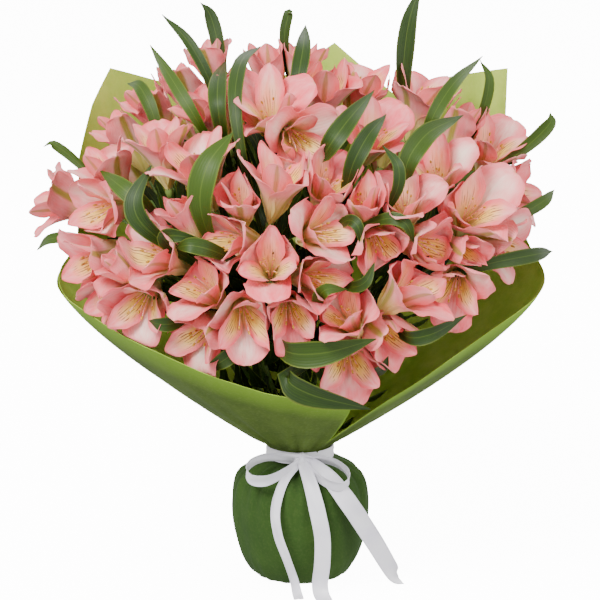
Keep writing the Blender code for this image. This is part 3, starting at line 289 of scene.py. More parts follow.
@dataclass(frozen=True)
class Finish:
    """A material: its name, the gloss it has all over, and how light passes into it."""

    name: str
    specular: float = 0.5
    sheen: float = 0.0
    glow: float = 0.0
    shine: float = 0.0
    glow_reach: tuple[float, float, float] = (0.003, 0.0015, 0.001)

    def paint(self, shader: Shader) -> dict[str, Term]:
        """What changes over the surface, by the name of the Principled input it feeds."""
        raise NotImplementedError

    @staticmethod
    def looks(colour: Term, roughness: Term, normal: Term) -> dict[str, Term]:
        """The three things that most finishes change over the surface."""
        return {"Base Color": colour, "Roughness": roughness, "Normal": normal}

    def material(self) -> bpy.types.Material:
        """Makes the material, or finds it by its name where it is made already.

        Returns:
            The material.
        """
        found = bpy.data.materials.get(self.name)
        if found:
            return found
        made = bpy.data.materials.new(self.name)
        made.use_nodes = True
        inputs = made.node_tree.nodes["Principled BSDF"].inputs
        inputs["Specular IOR Level"].default_value = self.specular
        inputs["Sheen Weight"].default_value = self.sheen
        inputs["Subsurface Weight"].default_value = self.glow
        inputs["Subsurface Radius"].default_value = self.glow_reach
        inputs["Subsurface Scale"].default_value = 1.0
        inputs["Emission Strength"].default_value = self.shine
        shader = Shader(made.node_tree)
        for name, term in self.paint(shader).items():
            shader.feed(inputs[name], term)
        return made


@dataclass(frozen=True)
class PetalFinish(Finish):
    """Alstroemeria tepals: coral pink, pale in the middle, yellow and streaked on the inner pair.

    The numbers that it reads run from 0 at the foot to 1 at the tip (along) and from -1 to 1 (across);
    outside is 1 on the back, inner is 1 on the narrow tepals, guide is how yellow a tepal's face is, and
    tint differs from one tepal to the next.
    """

    PALE, CORAL, DEEP = srgb(253, 166, 164), srgb(247, 96, 108), srgb(230, 44, 70)
    CREAM, TIP_GREEN, THROAT = srgb(254, 236, 216), srgb(172, 160, 78), srgb(228, 222, 126)
    GUIDE_YELLOW, STREAK = srgb(250, 222, 92), srgb(104, 22, 26)
    BACK_PINK, KEEL_GREEN, BACK_THROAT = srgb(250, 156, 156), srgb(148, 142, 34), srgb(214, 200, 100)

    def paint(self, shader: Shader) -> dict[str, Term]:
        """Colour, gloss and relief of the tepals."""
        along, across = shader.attribute("along"), shader.attribute("across")
        inner, outside = shader.attribute("inner"), shader.attribute("outside")
        guide, tint = shader.attribute("guide"), shader.attribute("tint")
        edge = abs(across)
        lengthwise = shader.joined(across * 9, along * 1.4, tint * 20)
        cloud = shader.noise(shader.joined(across * 1.6, along * 2.4, tint * 40), 1.6, 2.0)
        fibre = shader.noise(lengthwise, 3.2, 3.0)

        # Both sides: deeper pink edges, a cream stripe, a greenish tip and a yellow throat
        pink = shader.mix((cloud * 1.9 - 0.6 + tint * 0.45).clipped(), self.CORAL, self.PALE)
        pink = shader.mix((edge.rising(0.35, 1.0) * 0.42 + fibre * 0.55 - 0.2).clipped(), pink, self.DEEP)
        stripe = edge.rising(0.72, 0.1) * along.rising(0.12, 0.4) * along.rising(0.96, 0.62) * (1 - inner * 0.6)
        whiteness = tint.rising(0.25, 0.9) * 0.8 + cloud * 1.1 + fibre * 1.3 - 1.3
        pink = shader.mix((stripe * whiteness).clipped() * 0.8, pink, self.CREAM)
        tip = along.rising(0.9, 1.0) * (0.45 - inner * 0.3) * edge.rising(0.5, 0.1)
        pink = shader.mix(tip, pink, self.TIP_GREEN)
        pink = shader.mix(along.rising(0.46, 0.14) * 0.85, pink, self.THROAT)

        # The face: a yellow guide with dark dashes along it
        yellow = guide * along.rising(0.14, 0.3) * along.rising(0.78, 0.4) * edge.rising(0.85, 0.25)
        front = shader.mix((yellow * (0.45 + fibre * 0.8)).clipped(), pink, self.GUIDE_YELLOW)
        dashes = shader.noise(shader.joined(across * 15, along * 6.5, tint * 30), 1.0, 1.0, 0.3)
        lines = (across * 34 + fibre * 2).wave()
        streak = lines.rising(0.3, 0.75) * dashes.rising(0.47, 0.55) * yellow.rising(0.12, 0.4)
        front = shader.mix(streak * 0.9, front, self.STREAK)

        # The back: a green keel that fades towards the tip
        keel = edge.rising(0.24, 0.08) * along.rising(1.04, 0.86)
        back = shader.mix((0.1 + fibre * 0.4).clipped(), pink, self.BACK_PINK)
        back = shader.mix((keel * (0.55 + fibre * 0.7) * (1 - inner * 0.3)).clipped(), back, self.KEEL_GREEN)
        back = shader.mix(along.rising(0.42, 0.05) * 0.8, back, self.BACK_THROAT)

        veins = (across * 46 + shader.noise(lengthwise, 1.2) * 3).wave()
        height = veins * 0.3 + fibre * 0.7 + shader.noise(shader.place(), 900.0, 1.0) * 0.12
        relief = shader.relief(height, 0.35 * MM, 0.55)
        return self.looks(shader.mix(outside, front, back), 0.46 + fibre * 0.22, relief)


@dataclass(frozen=True)
class LeafFinish(Finish):
    """Alstroemeria leaves: deep green with parallel veins, paler beneath."""

    DARK, BRIGHT, MOTTLE = srgb(20, 40, 5), srgb(58, 80, 12), srgb(52, 78, 10)
    VEIN, MIDRIB, EDGE = srgb(74, 98, 22), srgb(104, 126, 44), srgb(128, 140, 40)
    UNDER_DARK, UNDER_PALE, UNDER_VEIN = srgb(58, 84, 26), srgb(84, 108, 42), srgb(54, 82, 36)

    def paint(self, shader: Shader) -> dict[str, Term]:
        """Colour, gloss and relief of the leaves."""
        along, across = shader.attribute("along"), shader.attribute("across")
        outside, tint = shader.attribute("outside"), shader.attribute("tint")
        fibre = shader.noise(shader.joined(across * 7, along * 1.1, tint * 50), 3.0, 3.0)
        cloud = shader.noise(shader.joined(across, along * 2, tint * 70), 1.8, 2.0)
        veins = (across * 30).wave()
        # tint: a random green on the seen leaves; on the leaves inside the bouquet it stays low, which is painted
        # shade.
        upper = shader.mix(tint.rising(0.2, 1.0), self.DARK, self.BRIGHT)
        upper = shader.mix((fibre * 0.7 + cloud * 0.7 - 0.4).clipped(), upper, self.MOTTLE)
        upper = shader.mix(veins.rising(0.4, 1.0) * 0.1, upper, self.VEIN)
        upper = shader.mix(abs(across).rising(0.09, 0.0) * 0.3, upper, self.MIDRIB)
        upper = shader.mix(abs(across).rising(0.84, 1.0) * 0.4, upper, self.EDGE)
        lower = shader.mix((fibre * 0.9).clipped(), self.UNDER_DARK, self.UNDER_PALE)
        lower = shader.mix(veins.rising(0.3, 1.0) * 0.3, lower, self.UNDER_VEIN)
        relief = shader.relief(veins * 0.3 + fibre * 0.5, 0.3 * MM, 0.5)
        return self.looks(shader.mix(outside, upper, lower), 0.4 + fibre * 0.2 + outside * 0.12, relief)


@dataclass(frozen=True)
class StalkFinish(Finish):
    """Green stalks and ovaries, with fine lengthwise ribs and a warm blush."""

    base: Colour = (0.09, 0.2, 0.04)
    blush: Colour = (0.3, 0.16, 0.07)

    RIB = srgb(140, 168, 92)

    def paint(self, shader: Shader) -> dict[str, Term]:
        """Colour, gloss and relief of the stalks."""
        place = shader.place()
        mottled = shader.noise(place, 60.0, 3.0)
        fine = shader.noise(shader.stretched(place, (1.0, 1.0, 0.15)), 900.0, 2.0)
        colour = shader.mix(mottled.rising(0.45, 0.75) * 0.45, self.base, self.blush)
        colour = shader.mix((fine * 0.5).clipped(), colour, self.RIB)
        return self.looks(colour, 0.4 + fine * 0.25, shader.relief(fine, 0.2 * MM, 0.5))


@dataclass(frozen=True, kw_only=True)
class SpeckFinish(Finish):
    """A small part of one colour that is mottled with a second: filaments and anthers."""

    base: Colour
    speck: Colour

    def paint(self, shader: Shader) -> dict[str, Term]:
        """Colour, gloss and relief of the small parts."""
        grain = shader.noise(shader.place(), 700.0, 2.0)
        colour = shader.mix(grain.rising(0.4, 0.65), self.base, self.speck)
        return self.looks(colour, 0.5 + grain * 0.3, shader.relief(grain, 0.2 * MM, 0.5))


@dataclass(frozen=True, kw_only=True)
class PaperFinish(Finish):
    """Soft fibrous florist's paper, with one colour outside and a paler one inside and along the rim, and painted
    shade in its inward folds.
    """

    outer: Colour
    outer_light: Colour
    inner: Colour
    inner_light: Colour
    grain: float = 0.3

    THREAD = srgb(196, 200, 130)

    def paint(self, shader: Shader) -> dict[str, Term]:
        """Colour, gloss and relief of the paper."""
        place = shader.place()
        outside, rim, crease = (shader.attribute(name) for name in ("outside", "rim", "crease"))
        mottled = shader.noise(place, 26.0, 5.0, 0.62)
        felt = shader.noise(shader.stretched(place, (1.0, 1.0, 0.35)), 330.0, 4.0, 0.7)
        threads = shader.noise(shader.stretched(place, (0.5, 1.0, 0.7)), 700.0, 3.0, 0.6)
        share = (mottled * 1.7 - 0.42 + felt * self.grain).clipped()
        back = shader.mix(rim * 0.75, shader.mix(share, self.outer, self.outer_light), self.inner)
        front = shader.mix(share, self.inner, self.inner_light)
        colour = shader.mix(outside, front, back)
        colour = shader.mix(threads.rising(0.45, 0.75) * (self.grain * 0.23), colour, self.THREAD)
        # Painted shade: the crease mark darkens the inward folds towards the outer colour.
        colour = shader.mix((crease * 0.3).clipped(), colour, self.outer, "MULTIPLY")
        relief = shader.relief((felt * 2.3 + threads) * self.grain + mottled * 0.4, 0.6 * MM, 0.5)
        return self.looks(colour, 0.78 + felt * 0.18, relief)


@dataclass(frozen=True)
class SatinFinish(Finish):
    """White satin ribbon: a fine weave across it, a woven edge, and soft lilac shade."""

    WHITE, LILAC, EDGE = srgb(238, 236, 240), srgb(214, 210, 224), srgb(198, 194, 208)

    def paint(self, shader: Shader) -> dict[str, Term]:
        """Colour, gloss and relief of the ribbon."""
        along, across = shader.attribute("along"), shader.attribute("across")
        weave = shader.noise(shader.joined(across * 3, along * 900, 0.0), 1.0, 2.0)
        soft = shader.noise(shader.place(), 55.0, 2.0)
        woven_edge = abs(across).rising(0.8, 0.9)
        colour = shader.mix((soft * 1.3 - 0.3).clipped(), self.WHITE, self.LILAC)
        colour = shader.mix(abs(across).rising(0.82, 0.92) * 0.35, colour, self.EDGE)
        relief = shader.relief(weave * 0.4 + woven_edge * 0.6 + soft * 0.5, 0.25 * MM, 0.5)
        return self.looks(colour, 0.3 + weave * 0.12 + woven_edge * 0.15, relief)


@dataclass(frozen=True)
class TwineFinish(Finish):
    """Natural twine with its twist."""

    BROWN, STRAW = srgb(120, 92, 56), srgb(196, 168, 120)

    def paint(self, shader: Shader) -> dict[str, Term]:
        """Colour, gloss and relief of the twine."""
        fibre = shader.noise(shader.stretched(shader.place(), (1.0, 1.0, 3.0)), 800.0, 4.0, 0.7)
        colour = shader.mix((fibre * 1.4 - 0.2).clipped(), self.BROWN, self.STRAW)
        return self.looks(colour, 0.85 + fibre * 0.1, shader.relief(fibre, 0.6 * MM, 0.8))


@dataclass(frozen=True)
class FloorFinish(Finish):
    """The studio's pale floor, which glows a little so that it stays white behind the bouquet."""

    def paint(self, shader: Shader) -> dict[str, Term]:
        """Colour and gloss of the floor."""
        cloud = shader.noise(shader.place(), 2.0, 2.0)
        colour = shader.mix(cloud, srgb(246, 246, 246), srgb(250, 250, 250))
        return {"Base Color": colour, "Roughness": 0.8 + cloud * 0.1, "Emission Color": colour}


PETALS = PetalFinish("coral_petals", specular=0.35, sheen=0.15, glow=0.12)
LEAVES = LeafFinish("veined_leaves", specular=0.28)
STALKS = StalkFinish("green_stalks", specular=0.4)
OVARIES = StalkFinish("ribbed_ovaries", specular=0.35, base=srgb(96, 120, 44), blush=srgb(160, 104, 66))
FILAMENTS = SpeckFinish("stamen_filaments", specular=0.4, base=srgb(246, 196, 176), speck=srgb(226, 118, 118))
ANTHERS = SpeckFinish("stamen_anthers", specular=0.2, base=srgb(206, 160, 62), speck=srgb(150, 104, 48))
PAPER = PaperFinish(
    "fibrous_wrap",
    specular=0.15,
    outer=srgb(58, 78, 28),
    outer_light=srgb(84, 104, 40),
    inner=srgb(130, 170, 48),
    inner_light=srgb(184, 204, 92),
)
FOOT_GREEN, FOOT_LIGHT = srgb(38, 62, 24), srgb(56, 82, 32)
FOOT_PAPER = PaperFinish(
    "fibrous_foot",
    specular=0.15,
    outer=FOOT_GREEN,
    outer_light=FOOT_LIGHT,
    inner=FOOT_GREEN,
    inner_light=FOOT_LIGHT,
    grain=0.1,
)
SATIN = SatinFinish("white_satin", specular=0.6, sheen=0.3)
TWINE = TwineFinish("natural_twine", specular=0.2)
FLOOR = FloorFinish("pale_floor", specular=0.1, shine=13.0)


# ------------------------------
# Meshes


@dataclass
class Shell:
    """Vertices and faces of one piece, with the numbers that its finish reads at each vertex."""

    points: list[Vector] = field(default_factory=list)
    faces: list[tuple[int, ...]] = field(default_factory=list)
    slots: list[int] = field(default_factory=list)
    marks: dict[str, list[float]] = field(default_factory=dict)

    def mark(self, count: int, **values: Iterable[float] | float) -> None:
        """Gives the last vertices their numbers.

        Args:
            count: How many vertices, from the end.
            values: Each number by its name, one for all of them or one each.
        """
        total = len(self.points)
        for name, value in values.items():
            kept = self.marks.setdefault(name, [])
            kept.extend([0.0] * (total - count - len(kept)))
            kept.extend([float(value)] * count if isinstance(value, (int, float)) else [float(v) for v in value])

    def add_sheet(
        self,
        rows: Sequence[Sequence[Vector]],
        halves: Sequence[Sequence[float]],
        slot: int = 0,
        **marks: float,
    ) -> None:
        """Adds a thin closed sheet.

        Args:
            rows: Points of its middle surface, row by row.
            halves: Half of its thickness at each point.
            slot: The finish that its faces take.
            marks: Numbers that hold for the whole sheet.
        """
        tall, wide = len(rows), len(rows[0])
        fronts, backs = [], []
        for i, j in itertools.product(range(tall), range(wide)):
            up = rows[min(i + 1, tall - 1)][j] - rows[max(i - 1, 0)][j]
            side = rows[i][min(j + 1, wide - 1)] - rows[i][max(j - 1, 0)]
            normal = up.cross(side).normalized() * halves[i][j]
            fronts.append(rows[i][j] + normal)
            backs.append(rows[i][j] - normal)
        start, count = len(self.points), tall * wide
        self.points += fronts + backs
        self.mark(
            2 * count,
            along=[i / (tall - 1) for _ in (0, 1) for i in range(tall) for _ in range(wide)],
            across=[2 * j / (wide - 1) - 1 for _ in (0, 1) for _ in range(tall) for j in range(wide)],
            outside=[side for side in (0.0, 1.0) for _ in range(count)],
            **marks,
        )
        made = []
        for i, j in itertools.product(range(tall - 1), range(wide - 1)):
            a = start + i * wide + j
            made.append((a, a + 1, a + wide + 1, a + wide))
            b = a + count
            made.append((b, b + wide, b + wide + 1, b + 1))
        border = [*range(wide), *(i * wide + wide - 1 for i in range(1, tall))]
        border += [(tall - 1) * wide + j for j in range(wide - 2, -1, -1)]
        border += [i * wide for i in range(tall - 2, 0, -1)]
        for here, ahead in zip(border, border[1:] + border[:1]):
            made.append((start + here, start + here + count, start + ahead + count, start + ahead))
        self.add_faces(made, slot)

    def add_faces(self, faces: list[tuple[int, ...]], slot: int) -> None:
        """Adds the faces of one closed body, turned over as one where they would point inwards.

        Args:
            faces: The faces, by the numbers of their vertices.
            slot: The finish that they take.
        """
        volume = 0.0
        middle = self.points[faces[0][0]]
        for face in faces:
            a = self.points[face[0]] - middle
            for n in range(1, len(face) - 1):
                volume += a.dot((self.points[face[n]] - middle).cross(self.points[face[n + 1]] - middle))
        self.faces += faces if volume > 0 else [tuple(reversed(face)) for face in faces]
        self.slots += [slot] * len(faces)

    def add_rings(
        self, rings: Sequence[Sequence[Vector]], slot: int = 0, closed: bool = False, **marks: float
    ) -> None:
        """Adds a body through rings of points.

        Args:
            rings: The rings, each with the same number of points.
            slot: The finish that its faces take.
            closed: Whether the last ring joins the first; otherwise both ends get a cap.
            marks: Numbers that hold for the whole body.
        """
        start, count = len(self.points), len(rings[0])
        for ring in rings:
            self.points += ring
        total = len(rings) * count
        self.mark(
            total,
            along=[i / len(rings) for i in range(len(rings)) for _ in range(count)],
            across=[2 * j / count - 1 for _ in rings for j in range(count)],
            outside=1.0,
            **marks,
        )
        last = len(rings) if closed else len(rings) - 1
        made = []
        for i, j in itertools.product(range(last), range(count)):
            a, b = start + i * count + j, start + i * count + (j + 1) % count
            shift = ((i + 1) % len(rings) - i) * count
            made.append((a, b, b + shift, a + shift))
        if not closed:
            made.append(tuple(start + j for j in reversed(range(count))))
            made.append(tuple(start + total - count + j for j in range(count)))
        self.add_faces(made, slot)

    def piece(self, name: str, slot: Slot, finishes: Sequence[Finish], *nodes: str) -> None:
        """Makes this shell an object that rides on the bouquet's one body.

        Args:
            name: The piece's name.
            slot: The record's material slot, which is passed on to place_piece.
            finishes: Its finishes, by slot number.
            nodes: The CAD nodes that it stands for.
        """
        mesh = bpy.data.meshes.new(name)
        mesh.from_pydata([tuple(point) for point in self.points], [], self.faces)
        for key, values in self.marks.items():
            values.extend([0.0] * (len(self.points) - len(values)))
            mesh.attributes.new(key, "FLOAT", "POINT").data.foreach_set("value", values)
        for finish in finishes:
            mesh.materials.append(finish.material())
        mesh.polygons.foreach_set("material_index", self.slots)
        mesh.update()
        place_piece(name, mesh, slot, *nodes)


def place_piece(name: str, mesh: bpy.types.Mesh, slot: Slot, *nodes: str) -> None:
    """Makes a mesh a piece of the bouquet.

    Args:
        name: The piece's name.
        mesh: Its mesh, already in place.
        slot: The record's material slot; not used.
        nodes: The CAD nodes that it stands for.
    """
    made = bpy.data.objects.new(name, mesh)
    bpy.context.scene.collection.objects.link(made)
    mesh.shade_smooth()
    mesh.set_sharp_from_angle(angle=SHARP_FROM)
    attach(made, BODY)
    if nodes:
        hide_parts(*nodes)
    LOG.info("%s: %d faces", name, len(mesh.polygons))


class GeometryTree(Tree):
    """A Geometry Nodes tree with named inputs, which turns an object's shape into a plain mesh."""

    def __init__(self, name: str, inputs: dict[str, tuple[str, object]]) -> None:
        """Starts the tree.

        Args:
            name: The tree's name.
            inputs: The kind of socket and the usual value of each input, by its name.
        """
        super().__init__(bpy.data.node_groups.new(name, "GeometryNodeTree"))
        face = self.tree.interface
        face.new_socket("Geometry", in_out="INPUT", socket_type="NodeSocketGeometry")
        for key, (kind, value) in inputs.items():
            made = face.new_socket(key, in_out="INPUT", socket_type=kind)
            if value is not None:
                made.default_value = value
        face.new_socket("Geometry", in_out="OUTPUT", socket_type="NodeSocketGeometry")
        self.entry = self.tree.nodes.new("NodeGroupInput")
        self.exit = self.tree.nodes.new("NodeGroupOutput")

    def given(self, name: str) -> Term:
        """One of the tree's inputs."""
        return Term(self, self.entry.outputs[name])

    def end(self, *parts: Term) -> None:
        """Joins the parts, makes instances real and gives the result out."""
        join = self.node("GeometryNodeJoinGeometry", {})
        for part in parts:
            self.feed(join.socket.node.inputs[0], part)
        real = self.node("GeometryNodeRealizeInstances", {}, join)
        self.feed(self.exit.inputs[0], real)

    def applied(self, carrier: bpy.types.Object, **values: object) -> bpy.types.Mesh:
        """Runs the tree on an object.

        Args:
            carrier: The object, which is removed afterwards.
            values: The tree's inputs by name, with _ for a space.

        Returns:
            The result as a plain mesh.
        """
        rule = carrier.modifiers.new("rule", "NODES")
        rule.node_group = self.tree
        keys = {item.name: item.identifier for item in self.tree.interface.items_tree if item.in_out == "INPUT"}
        for name, value in values.items():
            rule[keys[name.replace("_", " ")]] = value
        graph = bpy.context.evaluated_depsgraph_get()
        mesh = bpy.data.meshes.new_from_object(carrier.evaluated_get(graph))
        bpy.data.objects.remove(carrier)
        return mesh


def curve_object(name: str, runs: Sequence[Sequence[Vector]]) -> bpy.types.Object:
    """An object of poly splines.

    Args:
        name: Its name.
        runs: The points of each spline.

    Returns:
        The object, linked to the scene.
    """
    curve = bpy.data.curves.new(name, "CURVE")
    curve.dimensions = "3D"
    for run in runs:
        spline = curve.splines.new("POLY")
        spline.points.add(len(run) - 1)
        for knot, point in zip(spline.points, run):
            knot.co = (*point, 1.0)
    made = bpy.data.objects.new(name, curve)
    bpy.context.scene.collection.objects.link(made)
    return made


def smooth_run(points: Sequence[Vector], steps: int) -> list[Vector]:
    """Points of a smooth curve through the given ones.

    Args:
        points: The points that it passes.
        steps: How many points it has from one of them to the next.

    Returns:
        The curve's points, from the first to the last.
    """
    padded = [points[0] * 2 - points[1], *points, points[-1] * 2 - points[-2]]
    made = []
    for i in range(1, len(padded) - 2):
        a, b, c, d = padded[i - 1 : i + 3]
        for step in range(steps):
            t = step / steps
            bend = (a * 2 - b * 5 + c * 4 - d) * 0.5 * t * t + (b * 3 - a - c * 3 + d) * 0.5 * t**3
            made.append(b + (c - a) * 0.5 * t + bend)
    return [*made, points[-1]]


def sideways(way: Vector) -> Vector:
    """Finds a level direction square to another.

    Args:
        way: The direction.

    Returns:
        The level one, or the picture's right made square to way where that points nearly straight up.
    """
    level = way.cross(Vector((0, 0, 1)))
    if level.length < NEARLY_UPRIGHT:
        level = SIGHT.right - way * way.dot(SIGHT.right)
    return level.normalized()


NEARLY_UPRIGHT = 0.2


# ------------------------------
# The bouquet's shape


@dataclass(frozen=True)
class Sight:
    """The sight lines of the picture, with its scale taken at the bouquet's axis."""

    pixels: float = 600
    pixel: float = 0.9 * MM
    distance: float = 3.0
    elevation: float = math.radians(15)
    aim_height: float = 258 * MM

    @property
    def aim(self) -> Vector:
        """The point that the picture's middle looks at."""
        return Vector((0, 0, self.aim_height))

    @property
    def look(self) -> Vector:
        """The way the viewer looks."""
        return Vector((0, math.cos(self.elevation), -math.sin(self.elevation)))

    @property
    def right(self) -> Vector:
        """To the right in the picture."""
        return Vector((1, 0, 0))

    @property
    def up(self) -> Vector:
        """Upwards in the picture."""
        return Vector((0, math.sin(self.elevation), math.cos(self.elevation)))

    @property
    def eye(self) -> Vector:
        """The viewer's place."""
        return self.aim - self.look * self.distance

    def through(self, seen_at: tuple[float, float]) -> Vector:
        """Finds the way from the eye through a pixel.

        Args:
            seen_at: The pixel, counted from the picture's upper left corner.

        Returns:
            The direction.
        """
        slope, half = self.pixel / self.distance, self.pixels / 2
        ray = self.look + self.right * (seen_at[0] - half) * slope + self.up * (half - seen_at[1]) * slope
        return ray.normalized()


SIGHT = Sight()


@dataclass(frozen=True)
class Dome:
    """The domed top that the flowers' mouths lie on."""

    centre: Vector = Vector((-5, 20, 300)) * MM
    half: Vector = Vector((214, 157, 155)) * MM

    def squeezed(self, vector: Vector) -> Vector:
        """A vector in the dome's own measure, in which it is a unit sphere."""
        return Vector(a / b for a, b in zip(vector, self.half))

    def normal(self, point: Vector) -> Vector:
        """The way out of the dome at a point."""
        return self.squeezed(self.squeezed(point - self.centre)).normalized()

    def seen(self, pixel: tuple[float, float], lift: float = 0.0) -> Vector:
        """Finds the point of the dome that a pixel sees.

        Args:
            pixel: The pixel.
            lift: How far the point is raised off the dome.

        Returns:
            The point, or the one that the sight line passes nearest, raised by lift.
        """
        ray = SIGHT.through(pixel)
        start, way = self.squeezed(SIGHT.eye - self.centre), self.squeezed(ray)
        a, b, c = way.dot(way), start.dot(way), start.dot(start) - 1
        inside = max(b * b - a * c, 0.0)  # below 0 where the line misses the dome
        point = SIGHT.eye + ray * ((-b - math.sqrt(inside)) / a)
        return point + self.normal(point) * lift


DOME = Dome()


@dataclass(frozen=True)
class Flare:
    """The shape of the paper wrap: a cone from the neck that steepens to an upright wall.

    Two wings stand out at its sides, where the front sheet ends. Flowers and leaves are held inside it,
    with more room from rim_ease below its rim upwards, where they lean out over it.
    """

    neck_top: float = 124 * MM
    neck_radius: float = 27.2 * MM
    height: float = 165 * MM
    power: float = 1.43
    side: float = 206 * MM
    back: float = 146 * MM
    front: float = 178 * MM
    wing_turns: tuple[float, float] = (-8, 184)
    wing_reach: float = 14 * MM
    wing_spread: float = 11
    lean: float = 0.1
    softness: float = 4 * MM
    rim_ease: float = 4 * MM
    rim_lean: float = 1.5

    def radius(self, turn: float, height: float) -> float:
        """Finds the wrap's radius.

        Args:
            turn: A turn round the axis, in degrees.
            height: A height.

        Returns:
            The radius there.
        """
        around = math.radians(turn)
        depth = self.back if math.sin(around) > 0 else self.front
        widest = 1 / math.hypot(math.cos(around) / self.side, math.sin(around) / depth)
        rise = max(height - self.neck_top, 0.0) / self.height
        share = 1 - (1 - min(rise, 1.0)) ** self.power
        for wing in self.wing_turns:
            away = (turn - wing + 180) % 360 - 180
            widest += self.wing_reach * math.exp(-((away / self.wing_spread) ** 2))
        wall = self.lean * self.height * max(rise - 1, 0.0)
        return self.neck_radius + (widest - self.neck_radius) * share + wall

    def held_inside(self, point: Vector, clearance: float) -> Vector:
        """Moves a point smoothly towards the axis where it would come near the paper.

        Args:
            point: The point.
            clearance: How far from the paper it is kept.

        Returns:
            The point in its place.
        """
        turn = math.degrees(math.atan2(point.y, point.x))
        above_rim = max(point.z - rim_at(turn) + self.rim_ease, 0.0)
        room = self.radius(turn, point.z) - clearance + above_rim * self.rim_lean
        radius = math.hypot(point.x, point.y)
        beyond = radius - room + self.softness
        if beyond <= 0:
            return point
        kept = 1 - soft_push(beyond, self.softness) / radius
        return Vector((point.x * kept, point.y * kept, point.z))


FLARE = Flare()
PAPER_GAP = 1.2 * MM

# Rim heights round the bouquet, in degrees from +X towards the back and in millimetres
BACK_RIM = (
    (-59, 128), (-44, 186), (-31, 226), (-14, 266), (-6, 280), (8, 300), (20, 326), (23, 345),
    (25, 453), (42, 438), (60, 418), (79, 462), (92, 436), (108, 412), (128, 424), (149, 450),
    (156, 420), (163, 375), (168, 298), (176, 286), (186, 268), (204, 246),
)  # fmt: skip
FRONT_RIM = (
    (168, 288), (176, 283), (186, 271), (204, 254), (223, 243), (241, 220), (254, 208), (267, 201),
    (284, 192), (295, 187), (301, 130),
)  # fmt: skip


def rim_height(rim: Sequence[tuple[float, float]], turn: float) -> float:
    """Finds the height of a paper rim.

    Args:
        rim: The rim's corners.
        turn: A turn round the axis, in degrees.

    Returns:
        The height there, in metres.
    """
    for (before, low), (after, high) in zip(rim, rim[1:]):
        if turn <= after:
            return (low + (high - low) * (turn - before) / (after - before)) * MM
    return rim[-1][1] * MM


def rim_at(turn: float) -> float:
    """Finds the height of the wrap's upper edge, whichever sheet reaches higher.

    Args:
        turn: A turn round the axis, in degrees.

    Returns:
        The height there, in metres.
    """
    heights = []
    for rim, whole in itertools.product((BACK_RIM, FRONT_RIM), (-360, 0, 360)):
        if rim[0][0] <= turn + whole <= rim[-1][0]:
            heights.append(rim_height(rim, turn + whole))
    return max(heights)


# ------------------------------
# Flowers and leaves in their places


@dataclass(frozen=True)
class Bloom:
    """A flower: the pixel its mouth is seen at, and where it points.

    heading is its direction in the picture in degrees, 0 to the right and 90 up; facing is 0 from the
    side and 1 towards the viewer; opening is 0 for a closed trumpet and 1 for a wide flower. lift is how
    far its mouth is off the dome, in millimetres.
    """

    seen_at: tuple[float, float]
    heading: float
    facing: float
    opening: float = 0.8
    lift: float = 0.0
    size: float = 1.0

    OUTWARD = 0.35
    LOWEST = -0.3

    def way(self, mouth: Vector) -> Vector:
        """Finds the flower's direction, turned a little towards the dome's outside.

        Args:
            mouth: The place of its mouth.

        Returns:
            The direction, which never points far down.
        """
        in_picture = turned(SIGHT.right, SIGHT.up, math.radians(self.heading))
        seen = in_picture * math.sqrt(1 - self.facing**2) - SIGHT.look * self.facing
        way = seen + DOME.normal(mouth) * self.OUTWARD
        way.z = max(way.z, self.LOWEST)
        return way.normalized()


@dataclass(frozen=True)
class Leaf:
    """A leaf: the pixels where it comes out of the dome and where its tip is.

    The width and the heights of both places above the dome are in millimetres, and roll, the turn of its
    blade, is in degrees. over_rim is for a leaf that hangs out over the front paper.
    """

    emerges: tuple[float, float]
    tip: tuple[float, float]
    width: float = 15
    lift: float = 4
    tip_lift: float = 16
    roll: float = 0.0
    over_rim: bool = False


@dataclass(frozen=True)
class Umbel:
    """One flowering stem: the flowers of its umbel, and the leaves of its whorl."""

    name: str
    blooms: tuple[Bloom, ...]
    leaves: tuple[Leaf, ...] = ()


